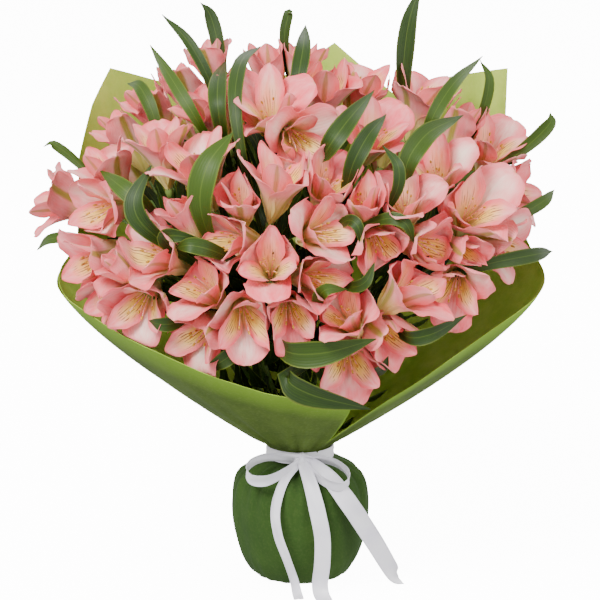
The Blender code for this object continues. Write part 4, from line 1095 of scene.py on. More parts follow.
UMBELS = (
    Umbel("far_left", (
        Bloom((52, 198), 165, 0.1, 0.7), Bloom((93, 212), 205, 0.5, 0.9), Bloom((86, 266), 205, 0.4, 0.8),
        Bloom((120, 262), 125, 0.1, 0.1, 2, 0.8),
    ), (
        Leaf((74, 238), (44, 250), 10, -4, 6), Leaf((84, 168), (58, 157), 9),
    )),
    Umbel("upper_left", (
        Bloom((104, 163), 105, 0.15, 0.5), Bloom((124, 124), 112, 0.1, 0.4), Bloom((158, 92), 115, 0.2, 0.6),
        Bloom((160, 140), 95, 0.1, 0.5, 3),
    ), (
        Leaf((145, 205), (108, 176), 17, 8, 10, 20), Leaf((156, 120), (134, 95), 13, 6, 12),
    )),
    Umbel("top_left", (
        Bloom((181, 78), 105, 0.1, 0.5), Bloom((206, 66), 102, 0.1, 0.1, 0, 0.9),
        Bloom((231, 72), 88, 0.1, 0.5), Bloom((205, 104), 120, 0.3, 0.4),
    ), (
        Leaf((195, 120), (159, 68), 12, 10, 22), Leaf((212, 92), (170, 40), 11, 12, 24),
        Leaf((222, 62), (204, 20), 13, 8, 16), Leaf((221, 118), (229, 76), 17, 10, 14),
    )),
    Umbel("left_middle", (
        Bloom((197, 160), 108, 0.25, 0.8, 6, 1.15), Bloom((182, 208), 115, 0.1, 0.2, 2, 0.85),
    ), (
        Leaf((148, 232), (160, 174), 19, 10, 16), Leaf((206, 205), (238, 149), 24, 16, 24),
        Leaf((170, 243), (206, 240), 15, 6, 12, 30),
    )),
    Umbel("upper_middle", (
        Bloom((282, 172), 75, 0.2, 0.75, 6, 1.15), Bloom((245, 196), 88, 0.5, 0.4, 3, 0.9),
        Bloom((226, 236), 175, 0.4, 0.8),
    ), (
        Leaf((214, 250), (180, 248), 15, 6, 10), Leaf((238, 118), (262, 62), 14, 10, 14),
    )),
    Umbel("lower_left", (
        Bloom((146, 250), 150, 0.45, 1.0, 4, 1.15), Bloom((142, 304), 250, 0.7, 0.9, 8),
        Bloom((104, 298), 210, 0.3, 0.6),
    ), (
        Leaf((176, 322), (151, 314), 13, 2, 8),
    )),
    Umbel("low_left_middle", (
        Bloom((205, 288), 125, 0.5, 0.9), Bloom((194, 334), 220, 0.5, 0.9, 4),
        Bloom((248, 316), 290, 0.65, 1.0, 5),
    ), (
        Leaf((235, 352), (205, 366), 15, 0.0, 6),
    )),
    Umbel("centre", (
        Bloom((275, 262), 90, 0.85, 1.0, 4), Bloom((290, 305), 285, 0.75, 0.8, 2, 0.95),
        Bloom((312, 275), 5, 0.55, 0.8),
    ), (
        Leaf((292, 346), (371, 329), 24, 10, 18),
    )),
    Umbel("top_middle", (
        Bloom((269, 107), 95, 0.85, 1.0, 7, 1.1), Bloom((303, 142), 310, 0.7, 0.9),
        Bloom((272, 62), 95, 0.1, 0.3),
    ), (
        Leaf((297, 92), (305, 43), 15, 10, 16),
    )),
    Umbel("top_right_middle", (
        Bloom((325, 80), 85, 0.4, 0.7, 0, 1.1), Bloom((298, 60), 88, 0.1, 0.2, 0, 0.9),
        Bloom((365, 80), 72, 0.4, 0.7),
    ), (
        Leaf((327, 156), (369, 108), 19, 12, 18), Leaf((292, 50), (291, 27), 10, 8, 10),
    )),
    Umbel("right_middle", (
        Bloom((328, 176), 60, 0.55, 0.9, 3), Bloom((378, 126), 70, 0.7, 0.8),
        Bloom((364, 196), 105, 0.4, 0.4, 2, 0.9),
    ), (
        Leaf((350, 172), (381, 128), 17, 12, 16), Leaf((391, 197), (377, 157), 11, 12, 18),
    )),
    Umbel("middle_right", (
        Bloom((327, 238), 20, 0.65, 1.0, 5), Bloom((383, 246), 285, 0.4, 0.5),
    ), (
        Leaf((352, 286), (372, 262), 11, 2, 8), Leaf((380, 222), (409, 244), 12, 12, 12),
        Leaf((346, 222), (362, 250), 11, 4, 6),
    )),
    Umbel("top_right", (
        Bloom((424, 92), 68, 0.35, 0.8, 3, 1.1), Bloom((462, 118), 75, 0.2, 0.4, 0, 0.95),
        Bloom((494, 146), 80, 0.75, 1.0, 3),
    ), (
        Leaf((398, 94), (416, 3), 17, 14, 16), Leaf((424, 134), (474, 72), 13, 12, 16),
        Leaf((478, 118), (476, 68), 11, 4, 8), Leaf((522, 150), (541, 122), 13, 4, 12),
    )),
    Umbel("far_right", (
        Bloom((470, 206), 80, 0.85, 1.0, 7, 1.2), Bloom((437, 166), 115, 0.7, 0.9),
        Bloom((519, 182), 5, 0.35, 0.8), Bloom((507, 242), 345, 0.3, 0.7),
    ), (
        Leaf((516, 216), (542, 195), 12, 2, 12), Leaf((402, 172), (452, 131), 20, 12, 18),
    )),
    Umbel("right_star", (
        Bloom((404, 204), 105, 0.5, 1.0, 4), Bloom((430, 238), 345, 0.45, 0.9, 2),
    )),
    Umbel("lower_right", (
        Bloom((420, 278), 45, 0.25, 0.9, 5, 1.15), Bloom((452, 292), 235, 0.7, 0.9),
        Bloom((466, 254), 290, 0.4, 0.2, 2, 0.8),
    ), (
        Leaf((488, 262), (566, 251), 14, 6, 10), Leaf((406, 332), (456, 308), 15, 8, 16),
    )),
    Umbel("low_front", (
        Bloom((342, 308), 120, 0.5, 0.7), Bloom((388, 338), 300, 0.4, 0.6), Bloom((350, 364), 275, 0.8, 1.0, 3),
    ), (
        Leaf((290, 368), (362, 379), 26, 16, 34, 10, over_rim=True), Leaf((318, 300), (346, 288), 12, 2, 6),
        Leaf((372, 372), (386, 352), 11, 0.0, 6),
    )),
)  # fmt: skip

# Three umbels that the photograph hides, on the dome's far side: the turn round the axis, and the
# slope of each flower's place above the dome's middle, in degrees
BACK_UMBELS = (
    ("back_left", ((142, 52), (160, 34), (128, 30))),
    ("back_middle", ((98, 58), (108, 36), (80, 38))),
    ("back_right", ((44, 50), (36, 30), (58, 28))),
)


@dataclass
class Flower:
    """A flower in its place: its mouth, direction, opening and length, and the umbel it grows on."""

    mouth: Vector
    way: Vector
    opening: float
    length: float
    umbel: int
    seed: int

    USUAL_LENGTH = 66 * MM
    USUAL_OPENING = 0.7
    MOUTH_SHARE = 0.72
    HEART_SHARE = 0.2
    NECK = 8 * MM
    BASE_CLEARANCE = 8 * MM

    @property
    def base(self) -> Vector:
        """Where the tepals leave the ovary."""
        return self.mouth - self.way * self.length * self.MOUTH_SHARE

    @property
    def heart(self) -> Vector:
        """The middle of the flower's bulk, which its room is measured from."""
        return self.mouth - self.way * self.length * self.HEART_SHARE

    @property
    def neck(self) -> Vector:
        """Where its stalk meets the ovary."""
        return self.base - self.way * self.NECK

    @property
    def reach(self) -> float:
        """How much room it asks for, against its neighbours."""
        return self.length * (0.6 + 0.4 * self.opening)

    @property
    def frame(self) -> tuple[Vector, Vector]:
        """The two directions across it that its tepals are turned from: to its side, and up."""
        side = sideways(self.way)
        return side, self.way.cross(side)


def on_ball(around: float, above: float) -> Vector:
    """The point of a unit ball at a turn round its axis and a slope above its middle, in radians."""
    return Vector((math.cos(around) * math.cos(above), math.sin(around) * math.cos(above), math.sin(above)))


HIDDEN_DEPTH = 0.9
HIDDEN_RISE = Vector((0, 0, 0.6))


def hidden_bloom(turn: float, slope: float) -> tuple[Vector, Vector]:
    """Places a flower on the dome's far side.

    Args:
        turn: Its turn round the axis, in degrees.
        slope: Its slope above the dome's middle, in degrees.

    Returns:
        Its mouth and its direction.
    """
    ball = on_ball(math.radians(turn), math.radians(slope))
    mouth = DOME.centre + Vector(a * b * HIDDEN_DEPTH for a, b in zip(ball, DOME.half))
    return mouth, (DOME.normal(mouth) + HIDDEN_RISE).normalized()


def placed_flowers() -> list[Flower]:
    """Places every flower of the bouquet.

    Returns:
        The flowers, moved apart where two stand too close.
    """
    flowers = []
    for number, umbel in enumerate(UMBELS):
        for place, bloom in enumerate(umbel.blooms):
            mouth = DOME.seen(bloom.seen_at, bloom.lift * MM)
            length = Flower.USUAL_LENGTH * bloom.size
            seed = 100 * number + 10 * place
            flowers.append(Flower(mouth, bloom.way(mouth), bloom.opening, length, number, seed))
    for number, (_, places) in enumerate(BACK_UMBELS, len(UMBELS)):
        for place, (turn, slope) in enumerate(places):
            mouth, way = hidden_bloom(turn, slope)
            seed = 100 * number + 10 * place
            flowers.append(Flower(mouth, way, Flower.USUAL_OPENING, Flower.USUAL_LENGTH, number, seed))
    move_apart(flowers)
    for flower in flowers:
        base = FLARE.held_inside(flower.base, Flower.BASE_CLEARANCE)
        flower.way = (flower.mouth - base).normalized()
    return flowers


FLOWER_SPACING = 42 * MM
APART_ROUNDS = 30
APART_STEP = 0.25


def move_apart(flowers: list[Flower]) -> None:
    """Pushes flowers that are closer than their spacing away from each other, a little at a time.

    Args:
        flowers: The flowers, whose mouths are moved.
    """
    for _ in range(APART_ROUNDS):
        for one, other in itertools.combinations(flowers, 2):
            gap = one.heart - other.heart
            wanted = FLOWER_SPACING * (one.reach + other.reach) / (2 * Flower.USUAL_LENGTH)
            if 1e-6 < gap.length < wanted:
                push = gap.normalized() * (wanted - gap.length) * APART_STEP
                one.mouth += push
                other.mouth -= push


@dataclass(frozen=True)
class Room:
    """The planes that bound a flower's room, each as (a point on it, its normal away from the flower)."""

    planes: tuple[tuple[Vector, Vector], ...]

    SOFT = 2.5 * MM
    LEANS = (0.5, 0.25, 0.0)

    @classmethod
    def of(cls, flower: Flower, flowers: Sequence[Flower]) -> Room:
        """Finds the room of a flower among its neighbours.

        Args:
            flower: The flower.
            flowers: All the flowers, itself too.

        Returns:
            Its room.
        """
        planes = []
        for other in flowers:
            gap = other.heart - flower.heart
            if other is flower or gap.length > flower.reach + other.reach:
                continue
            share = flower.reach / (flower.reach + other.reach)
            planes.append((flower.heart + gap * share, gap.normalized()))
        return cls(tuple(planes))

    def bent_clear(self, point: Vector, way: Vector, margin: float) -> Vector:
        """Bends a point of a tepal back smoothly, so that it stays in the room and in the wrap.

        Args:
            point: The point.
            way: The flower's direction, which the point slides along as it is moved back.
            margin: How far from the bounds it is kept.

        Returns:
            The point in its place.
        """
        for lean in self.LEANS:
            for on_plane, normal in self.planes:
                beyond = (point - on_plane).dot(normal) + margin + self.SOFT
                if beyond > 0:
                    back = soft_push(beyond, self.SOFT)
                    along = way - normal * way.dot(normal)
                    point = point - normal * back + along * back * lean
        return FLARE.held_inside(point, PAPER_GAP + margin)


# ------------------------------
# Tepals


@dataclass(frozen=True)
class TepalKind:
    """One kind of tepal: its width, ruffle and margin in millimetres and its slopes in degrees.

    length, widest, foot and blunt are shares: of the flower's length, of the tepal's length up to its
    widest place, and of its width at the foot and the tip. flare is how much a wide opening adds to its
    last slope.
    """

    width: float
    length: float
    start_slope: float
    end_slope: float
    flare: float
    ruffle: float
    margin: float
    widest: float
    foot: float
    tip_power: float
    tip_root: float
    blunt: float


OUTER_TEPAL = TepalKind(42, 0.98, 19, 17, 58, 2.4, 0.3, 0.68, 0.1, 2.5, 0.5, 0.26)
INNER_TEPAL = TepalKind(25, 1.0, 11, 9, 42, 1.3, 1.6, 0.66, 0.12, 1.9, 0.72, 0.05)


@dataclass
class Tepal:
    """One tepal of a flower, number 0 to 5 round it. The odd ones are the broad outer ones."""

    flower: Flower
    number: int
    room: Room

    ROWS = 18
    COLUMNS = 10
    MIDRIB_STEPS = 20
    THROAT = 2.2 * MM
    RIPPLE = 0.05
    FREE_FROM = 0.35
    GUIDE_STRONG, GUIDE_FAINT = 1.0, 0.3

    def __post_init__(self) -> None:
        """Draws the tepal's own sizes."""
        draw = random.Random(self.flower.seed + self.number)
        self.outer = self.number % 2 == 1
        self.kind = OUTER_TEPAL if self.outer else INNER_TEPAL
        scale = self.flower.length / Flower.USUAL_LENGTH * draw.uniform(0.94, 1.06)
        self.width = self.kind.width * MM * scale
        self.length = self.flower.length * self.kind.length * draw.uniform(0.96, 1.04)
        self.start_slope = math.radians(self.kind.start_slope)
        flare = self.kind.flare * self.flower.opening + self.kind.end_slope
        self.end_slope = math.radians(flare) * draw.uniform(0.9, 1.1)
        turn = math.radians(30 + 60 * self.number) + draw.uniform(-0.05, 0.05)
        self.out = turned(*self.flower.frame, turn)
        self.across = self.flower.way.cross(self.out)
        self.phases = [draw.uniform(0, 2 * math.pi) for _ in range(4)]
        self.ruffle = draw.uniform(0.8, 1.4) * self.kind.ruffle * MM
        self.tint = draw.random()
        self.margin = self.kind.margin * MM

    def shape(self, u: float) -> float:
        """Finds the tepal's width.

        Args:
            u: A share of its length.

        Returns:
            Its width there, as a share of its widest.
        """
        kind = self.kind
        if u < kind.widest:
            x = u / kind.widest
            swelling = x**1.1 * (2 - x) ** 1.1 if self.outer else eased(x)
            return kind.foot + (1 - kind.foot) * swelling
        x = (u - kind.widest) / (1 - kind.widest)
        narrowing = max(1 - x**kind.tip_power, 0.0) ** kind.tip_root
        return kind.blunt + (1 - kind.blunt) * narrowing

    def midrib(self, u: float) -> tuple[float, float]:
        """Follows the tepal's midrib.

        Args:
            u: A share of the tepal's length.

        Returns:
            How far along the flower and how far out from its axis the midrib is there.
        """
        along, out = 0.0, self.THROAT
        step_length = self.length * u / self.MIDRIB_STEPS
        for step in range(self.MIDRIB_STEPS):
            share = (step + 0.5) / self.MIDRIB_STEPS * u
            slope = self.start_slope + (self.end_slope - self.start_slope) * share**1.8
            along += math.cos(slope) * step_length
            out += math.sin(slope) * step_length
        return along, out

    def ruffled(self, u: float, v: float) -> Vector:
        """Finds how a tepal's edge waves and its middle folds.

        Args:
            u: A share of its length.
            v: A place across it, from -1 to 1.

        Returns:
            How far the point there is moved.
        """
        edge = abs(v) ** 2.2 * min(u / 0.7, 1.0) ** 2
        side = self.phases[1] if v > 0 else self.phases[2]
        wave = math.sin(13 * u + side) + 0.5 * math.sin(27 * u + self.phases[3] + side)
        fold = 0.5 * MM * math.exp(-((v / 0.2) ** 2)) * u
        return (self.out * 0.6 - self.flower.way * 0.4) * (edge * wave * self.ruffle) + self.out * fold

    def row(self, u: float) -> list[Vector]:
        """Makes the points across the tepal.

        Args:
            u: A share of its length.

        Returns:
            The points there, from one edge to the other.
        """
        along, out = self.midrib(u)
        flower = self.flower
        points = []
        for j in range(self.COLUMNS + 1):
            v = 2 * j / self.COLUMNS - 1
            slow, quick = math.sin(11 * u + self.phases[0] + 2 * v), u * math.sin(33 * u + self.phases[3] * v)
            offset = v * self.width * self.shape(u) * (1 + self.RIPPLE * slow + self.RIPPLE * quick) / 2
            cup = max(out, self.width * 0.3) * (1 + 2.0 * flower.opening * u * u)
            swing = max(-1.0, min(1.0, offset / cup))
            notch = (2.4 * math.exp(-((v / 0.4) ** 2)) + 1.5 * v * v) * u**9 * MM if self.outer else 0.0
            place = flower.base + flower.way * (along - notch)
            place += self.out * (out - cup * (1 - math.cos(swing))) + self.across * cup * math.sin(swing)
            bent = self.room.bent_clear(place, flower.way, self.margin)
            place = place.lerp(bent, eased(min(u / self.FREE_FROM, 1.0)))
            points.append(place + self.ruffled(u, v))
        return points

    def add_to(self, shell: Shell) -> None:
        """Adds the tepal to its umbel's shell, with closer rows towards its tip."""
        rows = [self.row(1 - (1 - i / self.ROWS) ** 1.5) for i in range(self.ROWS + 1)]
        half = [(0.32 - 0.18 * abs(2 * j / self.COLUMNS - 1)) * MM for j in range(self.COLUMNS + 1)]
        guide = 0.0
        if not self.outer:
            guide = self.GUIDE_STRONG if self.number in (0, 2) else self.GUIDE_FAINT
        shell.add_sheet(rows, [half] * len(rows), 0, inner=0.0 if self.outer else 1.0, guide=guide, tint=self.tint)


@dataclass
class FlowerHead:
    """One whole flower: ovary, tepals, and the paths of its stamens and stalk."""

    flower: Flower
    room: Room

    TEPALS = 6
    STAMENS = 6
    OVARY_SIDES = 18
    OVARY = ((-1.0, 1.3), (-0.8, 2.4), (-0.5, 3.3), (-0.15, 3.5), (0.15, 3.1), (0.4, 2.4))
    STALK_GAP = 3 * MM
    STAMEN_GAP = 5 * MM

    def add_to(self, shell: Shell) -> None:
        """Adds the tepals and the six-ribbed ovary to the umbel's shell."""
        for number in range(self.TEPALS):
            Tepal(self.flower, number, self.room).add_to(shell)
        side, up = self.flower.frame
        rings = []
        for share, radius in self.OVARY:
            middle = self.flower.base + self.flower.way * Flower.NECK * share
            ring = []
            for n in range(self.OVARY_SIDES):
                turn = 2 * math.pi * n / self.OVARY_SIDES
                ribbed = radius * MM * (1 + 0.07 * math.cos(6 * turn))
                ring.append(middle + turned(side, up, turn) * ribbed)
            rings.append(ring)
        shell.add_rings(rings, 1)

    def stalk(self, hub: Vector, way: Vector) -> list[Vector]:
        """Makes the path of the flower's stalk, which meets the ovary in line.

        Args:
            hub: Where it starts.
            way: The direction it leaves in.

        Returns:
            The points of the path.
        """
        neck, reach = self.flower.neck, (self.flower.neck - hub).length
        first, second = hub + way * reach * 0.35, neck - self.flower.way * reach * 0.35
        run = []
        for step in range(9):
            t = step / 8
            s = 1 - t
            run.append(hub * s**3 + first * 3 * s * s * t + second * 3 * s * t * t + neck * t**3)
        return [FLARE.held_inside(point, self.STALK_GAP) for point in run]

    def stamens(self) -> Iterator[list[Vector]]:
        """The paths of the filaments, which spread in the throat and turn up at their ends."""
        draw = random.Random(self.flower.seed + 7)
        side, up = self.flower.frame
        flower = self.flower
        for n in range(self.STAMENS):
            out = turned(side, up, math.radians(60 * n + draw.uniform(-14, 14)))
            reach = flower.length * draw.uniform(0.5, 0.72)
            spread = (2.5 + 5.5 * flower.opening) * draw.uniform(0.6, 1.1) * MM
            run = []
            for step in range(7):
                t = step / 6
                bow = out * (1.2 * MM + spread * t * t) - up * 2.2 * MM * math.sin(math.pi * t)
                point = flower.base + flower.way * (2 * MM + reach * t) + bow + up * 2.5 * MM * t**3
                run.append(self.room.bent_clear(point, flower.way, self.STAMEN_GAP))
            yield run


def stamen_tree() -> GeometryTree:
    """The tree that makes filaments along curves, with an anther on the end of each."""
    tree = GeometryTree(
        "stamens",
        {
            "Filament Radius": ("NodeSocketFloat", 0.45 * MM),
            "Anther Length": ("NodeSocketFloat", 4.6 * MM),
            "Anther Width": ("NodeSocketFloat", 1.9 * MM),
            "Filament": ("NodeSocketMaterial", None),
            "Anther": ("NodeSocketMaterial", None),
        },
    )
    curves = tree.given("Geometry")
    profile = tree.node("GeometryNodeCurvePrimitiveCircle", {}, Resolution=5, Radius=tree.given("Filament Radius"))
    threads = tree.node("GeometryNodeCurveToMesh", {}, Curve=curves, Profile_Curve=profile, Fill_Caps=True)
    threads = tree.node("GeometryNodeSetMaterial", {}, threads, Material=tree.given("Filament"))
    ball = tree.node("GeometryNodeMeshIcoSphere", {}, Radius=0.5, Subdivisions=2)
    width = tree.given("Anther Width")
    size = tree.node("ShaderNodeCombineXYZ", {}, width, width, tree.given("Anther Length"))
    anther = tree.node("GeometryNodeTransform", {}, ball, Scale=size)
    ends = tree.node("GeometryNodeCurveEndpointSelection", {}, Start_Size=0, End_Size=1)
    tangent = tree.node("GeometryNodeInputTangent", {})
    turned = tree.node("FunctionNodeAlignRotationToVector", {"axis": "Z"}, Vector=tangent)
    anthers = tree.node(
        "GeometryNodeInstanceOnPoints", {}, Points=curves, Selection=ends, Instance=anther, Rotation=turned
    )
    anthers = tree.node("GeometryNodeRealizeInstances", {}, anthers)
    anthers = tree.node("GeometryNodeSetMaterial", {}, anthers, Material=tree.given("Anther"))
    tree.end(threads, anthers)
    return tree


def stalk_tree() -> GeometryTree:
    """The tree that makes round stalks along curves."""
    tree = GeometryTree(
        "stalks",
        {
            "Radius": ("NodeSocketFloat", 2.5 * MM),
            "Sides": ("NodeSocketInt", 12),
            "Points": ("NodeSocketInt", 24),
            "Finish": ("NodeSocketMaterial", None),
        },
    )
    path, count = tree.given("Geometry"), tree.given("Points")
    even = tree.node("GeometryNodeResampleCurve", {"mode": "COUNT"}, Curve=path, Count=count)
    sides, radius = tree.given("Sides"), tree.given("Radius")
    profile = tree.node("GeometryNodeCurvePrimitiveCircle", {}, Resolution=sides, Radius=radius)
    stalks = tree.node("GeometryNodeCurveToMesh", {}, Curve=even, Profile_Curve=profile, Fill_Caps=True)
    tree.end(tree.node("GeometryNodeSetMaterial", {}, stalks, Material=tree.given("Finish")))
    return tree


# ------------------------------
# Stems and leaves


TIE_HEIGHT = 118 * MM
TIE_SPREAD = 12 * MM
TIE_ROUNDS = 400
TIE_SHRINK = 0.999
STEM_RADIUS = 2.5 * MM
STEM_SPACING = 5.8 * MM
STEM_FOOT = 1.6 * MM
STEM_FOOT_SPREAD = 2.1
STEM_SPIRAL = math.radians(38)
HUB_DEPTH = 34 * MM
HUB_GAP = 9 * MM
LEAF_KEEPS_OFF = 14 * MM


def umbel_hub(flowers: Sequence[Flower]) -> tuple[Vector, Vector]:
    """Finds the point behind an umbel's flowers that their stalks spread from.

    Args:
        flowers: The umbel's flowers.

    Returns:
        The point, and the way the stem comes to it.
    """
    middle = sum((flower.neck for flower in flowers), Vector()) / len(flowers)
    rising = (middle - Vector((0, 0, TIE_HEIGHT))).normalized()
    facing = sum((flower.way for flower in flowers), Vector()).normalized()
    spread = (rising + facing * 0.8).normalized()
    hub = FLARE.held_inside(middle - spread * HUB_DEPTH, HUB_GAP)
    return hub, (rising + facing * 0.3).normalized()


def tie_places(hubs: list[Vector]) -> list[Vector]:
    """Where each stem passes the tie, so that the straight runs above it clear each other.

    Args:
        hubs: The stems' upper ends, which give way where two runs meet high up.

    Returns:
        Each stem's level place at the tie.
    """
    places = [Vector((hub.x, hub.y)) * TIE_SPREAD / (hub.z - TIE_HEIGHT) for hub in hubs]
    for _ in range(TIE_ROUNDS):
        for i, j in itertools.combinations(range(len(hubs)), 2):
            push_runs_apart(places, hubs, i, j)
        for place in places:
            place *= TIE_SHRINK
    return places


def push_runs_apart(places: list[Vector], hubs: list[Vector], i: int, j: int) -> None:
    """Moves two stems apart, if their runs from the tie to the hubs come too near.

    Args:
        places: The stems' level places at the tie.
        hubs: Their upper ends.
        i: The number of one stem.
        j: The number of the other.
    """
    start = places[i] - places[j]
    rises = [hubs[n].z - TIE_HEIGHT for n in (i, j)]
    slopes = [(hubs[n].to_2d() - places[n]) / rise for n, rise in zip((i, j), rises)]
    lean = slopes[0] - slopes[1]
    nearest_at = max(0.0, min(*rises, -start.dot(lean) / max(lean.length_squared, 1e-9)))
    gap = start + lean * nearest_at
    if 1e-9 < gap.length < STEM_SPACING:
        push = gap.normalized() * (STEM_SPACING - gap.length) * 0.5
        for n, rise, way in ((i, rises[0], push), (j, rises[1], -push)):
            share = nearest_at / rise
            places[n] += way * (1 - share)
            hubs[n] += way.to_3d() * share


def stem_points(tie: Vector, hub: Vector, way: Vector) -> list[Vector]:
    """Makes the line of a stem.

    Args:
        tie: Its level place at the tie.
        hub: The point that its umbel spreads from.
        way: The direction it comes there in.

    Returns:
        Points from its cut end, through the tie, to the whorl under its umbel.
    """
    cosine, sine = math.cos(STEM_SPIRAL), math.sin(STEM_SPIRAL)
    foot = Vector((tie.x * cosine - tie.y * sine, tie.x * sine + tie.y * cosine)) * STEM_FOOT_SPREAD
    points = [Vector((*foot, STEM_FOOT)), Vector((tie.x, tie.y, TIE_HEIGHT))]
    end = hub - way * 0.4 * MM
    for t in (0.33, 0.66):
        level = tie + (end.to_2d() - tie) * t
        bend = Vector((level.x, level.y, TIE_HEIGHT + (end.z - TIE_HEIGHT) * t))
        points.append(FLARE.held_inside(bend, PAPER_GAP + STEM_RADIUS))
    return [*points, end - way * 9 * MM, end]


def point_below(run: Sequence[Vector], distance: float) -> Vector:
    """Finds a point of a stem by its distance from the upper end.

    Args:
        run: The stem's points, upwards.
        distance: The distance back along them.

    Returns:
        The point.
    """
    for ahead, here in zip(run[::-1], run[-2::-1]):
        length = (ahead - here).length
        if distance <= length:
            return ahead.lerp(here, distance / length)
        distance -= length
    return run[0]


def off_stem(point: Vector, hub: Vector, way: Vector) -> Vector:
    """Moves a point of a leaf out where it would run up through the umbel's own stalks.

    Args:
        point: The point.
        hub: The point that the stalks spread from.
        way: The direction the stem comes there in.

    Returns:
        The point in its place.
    """
    away = point - hub
    away -= way * away.dot(way)
    if away.length >= LEAF_KEEPS_OFF:
        return point
    return point + away.normalized() * (LEAF_KEEPS_OFF - away.length)


def kept_off(point: Vector, flowers: Sequence[Flower]) -> Vector:
    """Moves a point of a leaf out of the flowers that it comes too near to.

    Args:
        point: The point.
        flowers: The flowers.

    Returns:
        The point in its place.
    """
    for _ in range(4):
        for flower in flowers:
            start, end = flower.base, flower.mouth
            share = share_of((point - start).dot(end - start) / (end - start).length_squared)
            gap = point - (start + (end - start) * share)
            wanted = LEAF_KEEPS_OFF * (0.45 + 0.55 * share)
            if 1e-6 < gap.length < wanted:
                point = point + gap.normalized() * (wanted - gap.length)
    return point


@dataclass
class Blade:
    """A leaf in its place: its midrib, the way its upper side looks, its width, roll and tint."""

    line: list[Vector]
    face: Vector
    width: float
    roll: float
    tint: float

    SHARES = (0.0, 0.4, 0.72, 1.0)
    WIDEST = 0.58
    ROWS = 20
    COLUMNS = 6

    def width_at(self, t: float) -> float:
        """Finds the leaf's width.

        Args:
            t: A share of its length.

        Returns:
            Its width there, as a share of its widest.
        """
        if t < self.WIDEST:
            return 0.16 + 0.84 * eased(t / self.WIDEST)
        return max(1 - ((t - self.WIDEST) / (1 - self.WIDEST)) ** 1.8, 0.02)

    def add_to(self, shell: Shell) -> None:
        """Adds the leaf to its stem's shell, a little twisted and wavy."""
        draw = random.Random(round(self.line[-1].x * 1e5))
        phase = draw.uniform(0, 6)
        spine = smooth_run(self.line, self.ROWS // 3)
        rows, halves = [], []
        for n, (ridge, way) in enumerate(zip(spine, headings(spine))):
            t = n / (len(spine) - 1)
            across = way.cross(self.face).normalized()
            across = turned(across, way.cross(across), math.radians(self.roll) * t + 0.12 * math.sin(3 * t + phase))
            lift = across.cross(way)
            width = self.width * self.width_at(t) / 2
            row, half = [], []
            for j in range(self.COLUMNS + 1):
                v = 1 - 2 * j / self.COLUMNS
                cup = 0.22 * width * v * v + 0.5 * MM * v * v * math.sin(9 * t + phase + (1 if v > 0 else 2.5))
                row.append(ridge + across * width * v + lift * cup)
                half.append((0.4 - 0.2 * abs(v)) * MM)
            rows.append(row)
            halves.append(half)
        shell.add_sheet(rows, halves, 0, tint=self.tint)


def leaf_line(root: Vector, emerges: Vector, tip: Vector, t: float) -> Vector:
    """A point of a leaf's midrib, which leaves the stem, comes out of the dome and runs to its tip."""
    bend = emerges * 2 - root * 0.5 - tip * 0.5
    return root * (1 - t) ** 2 + bend * 2 * t * (1 - t) + tip * t * t


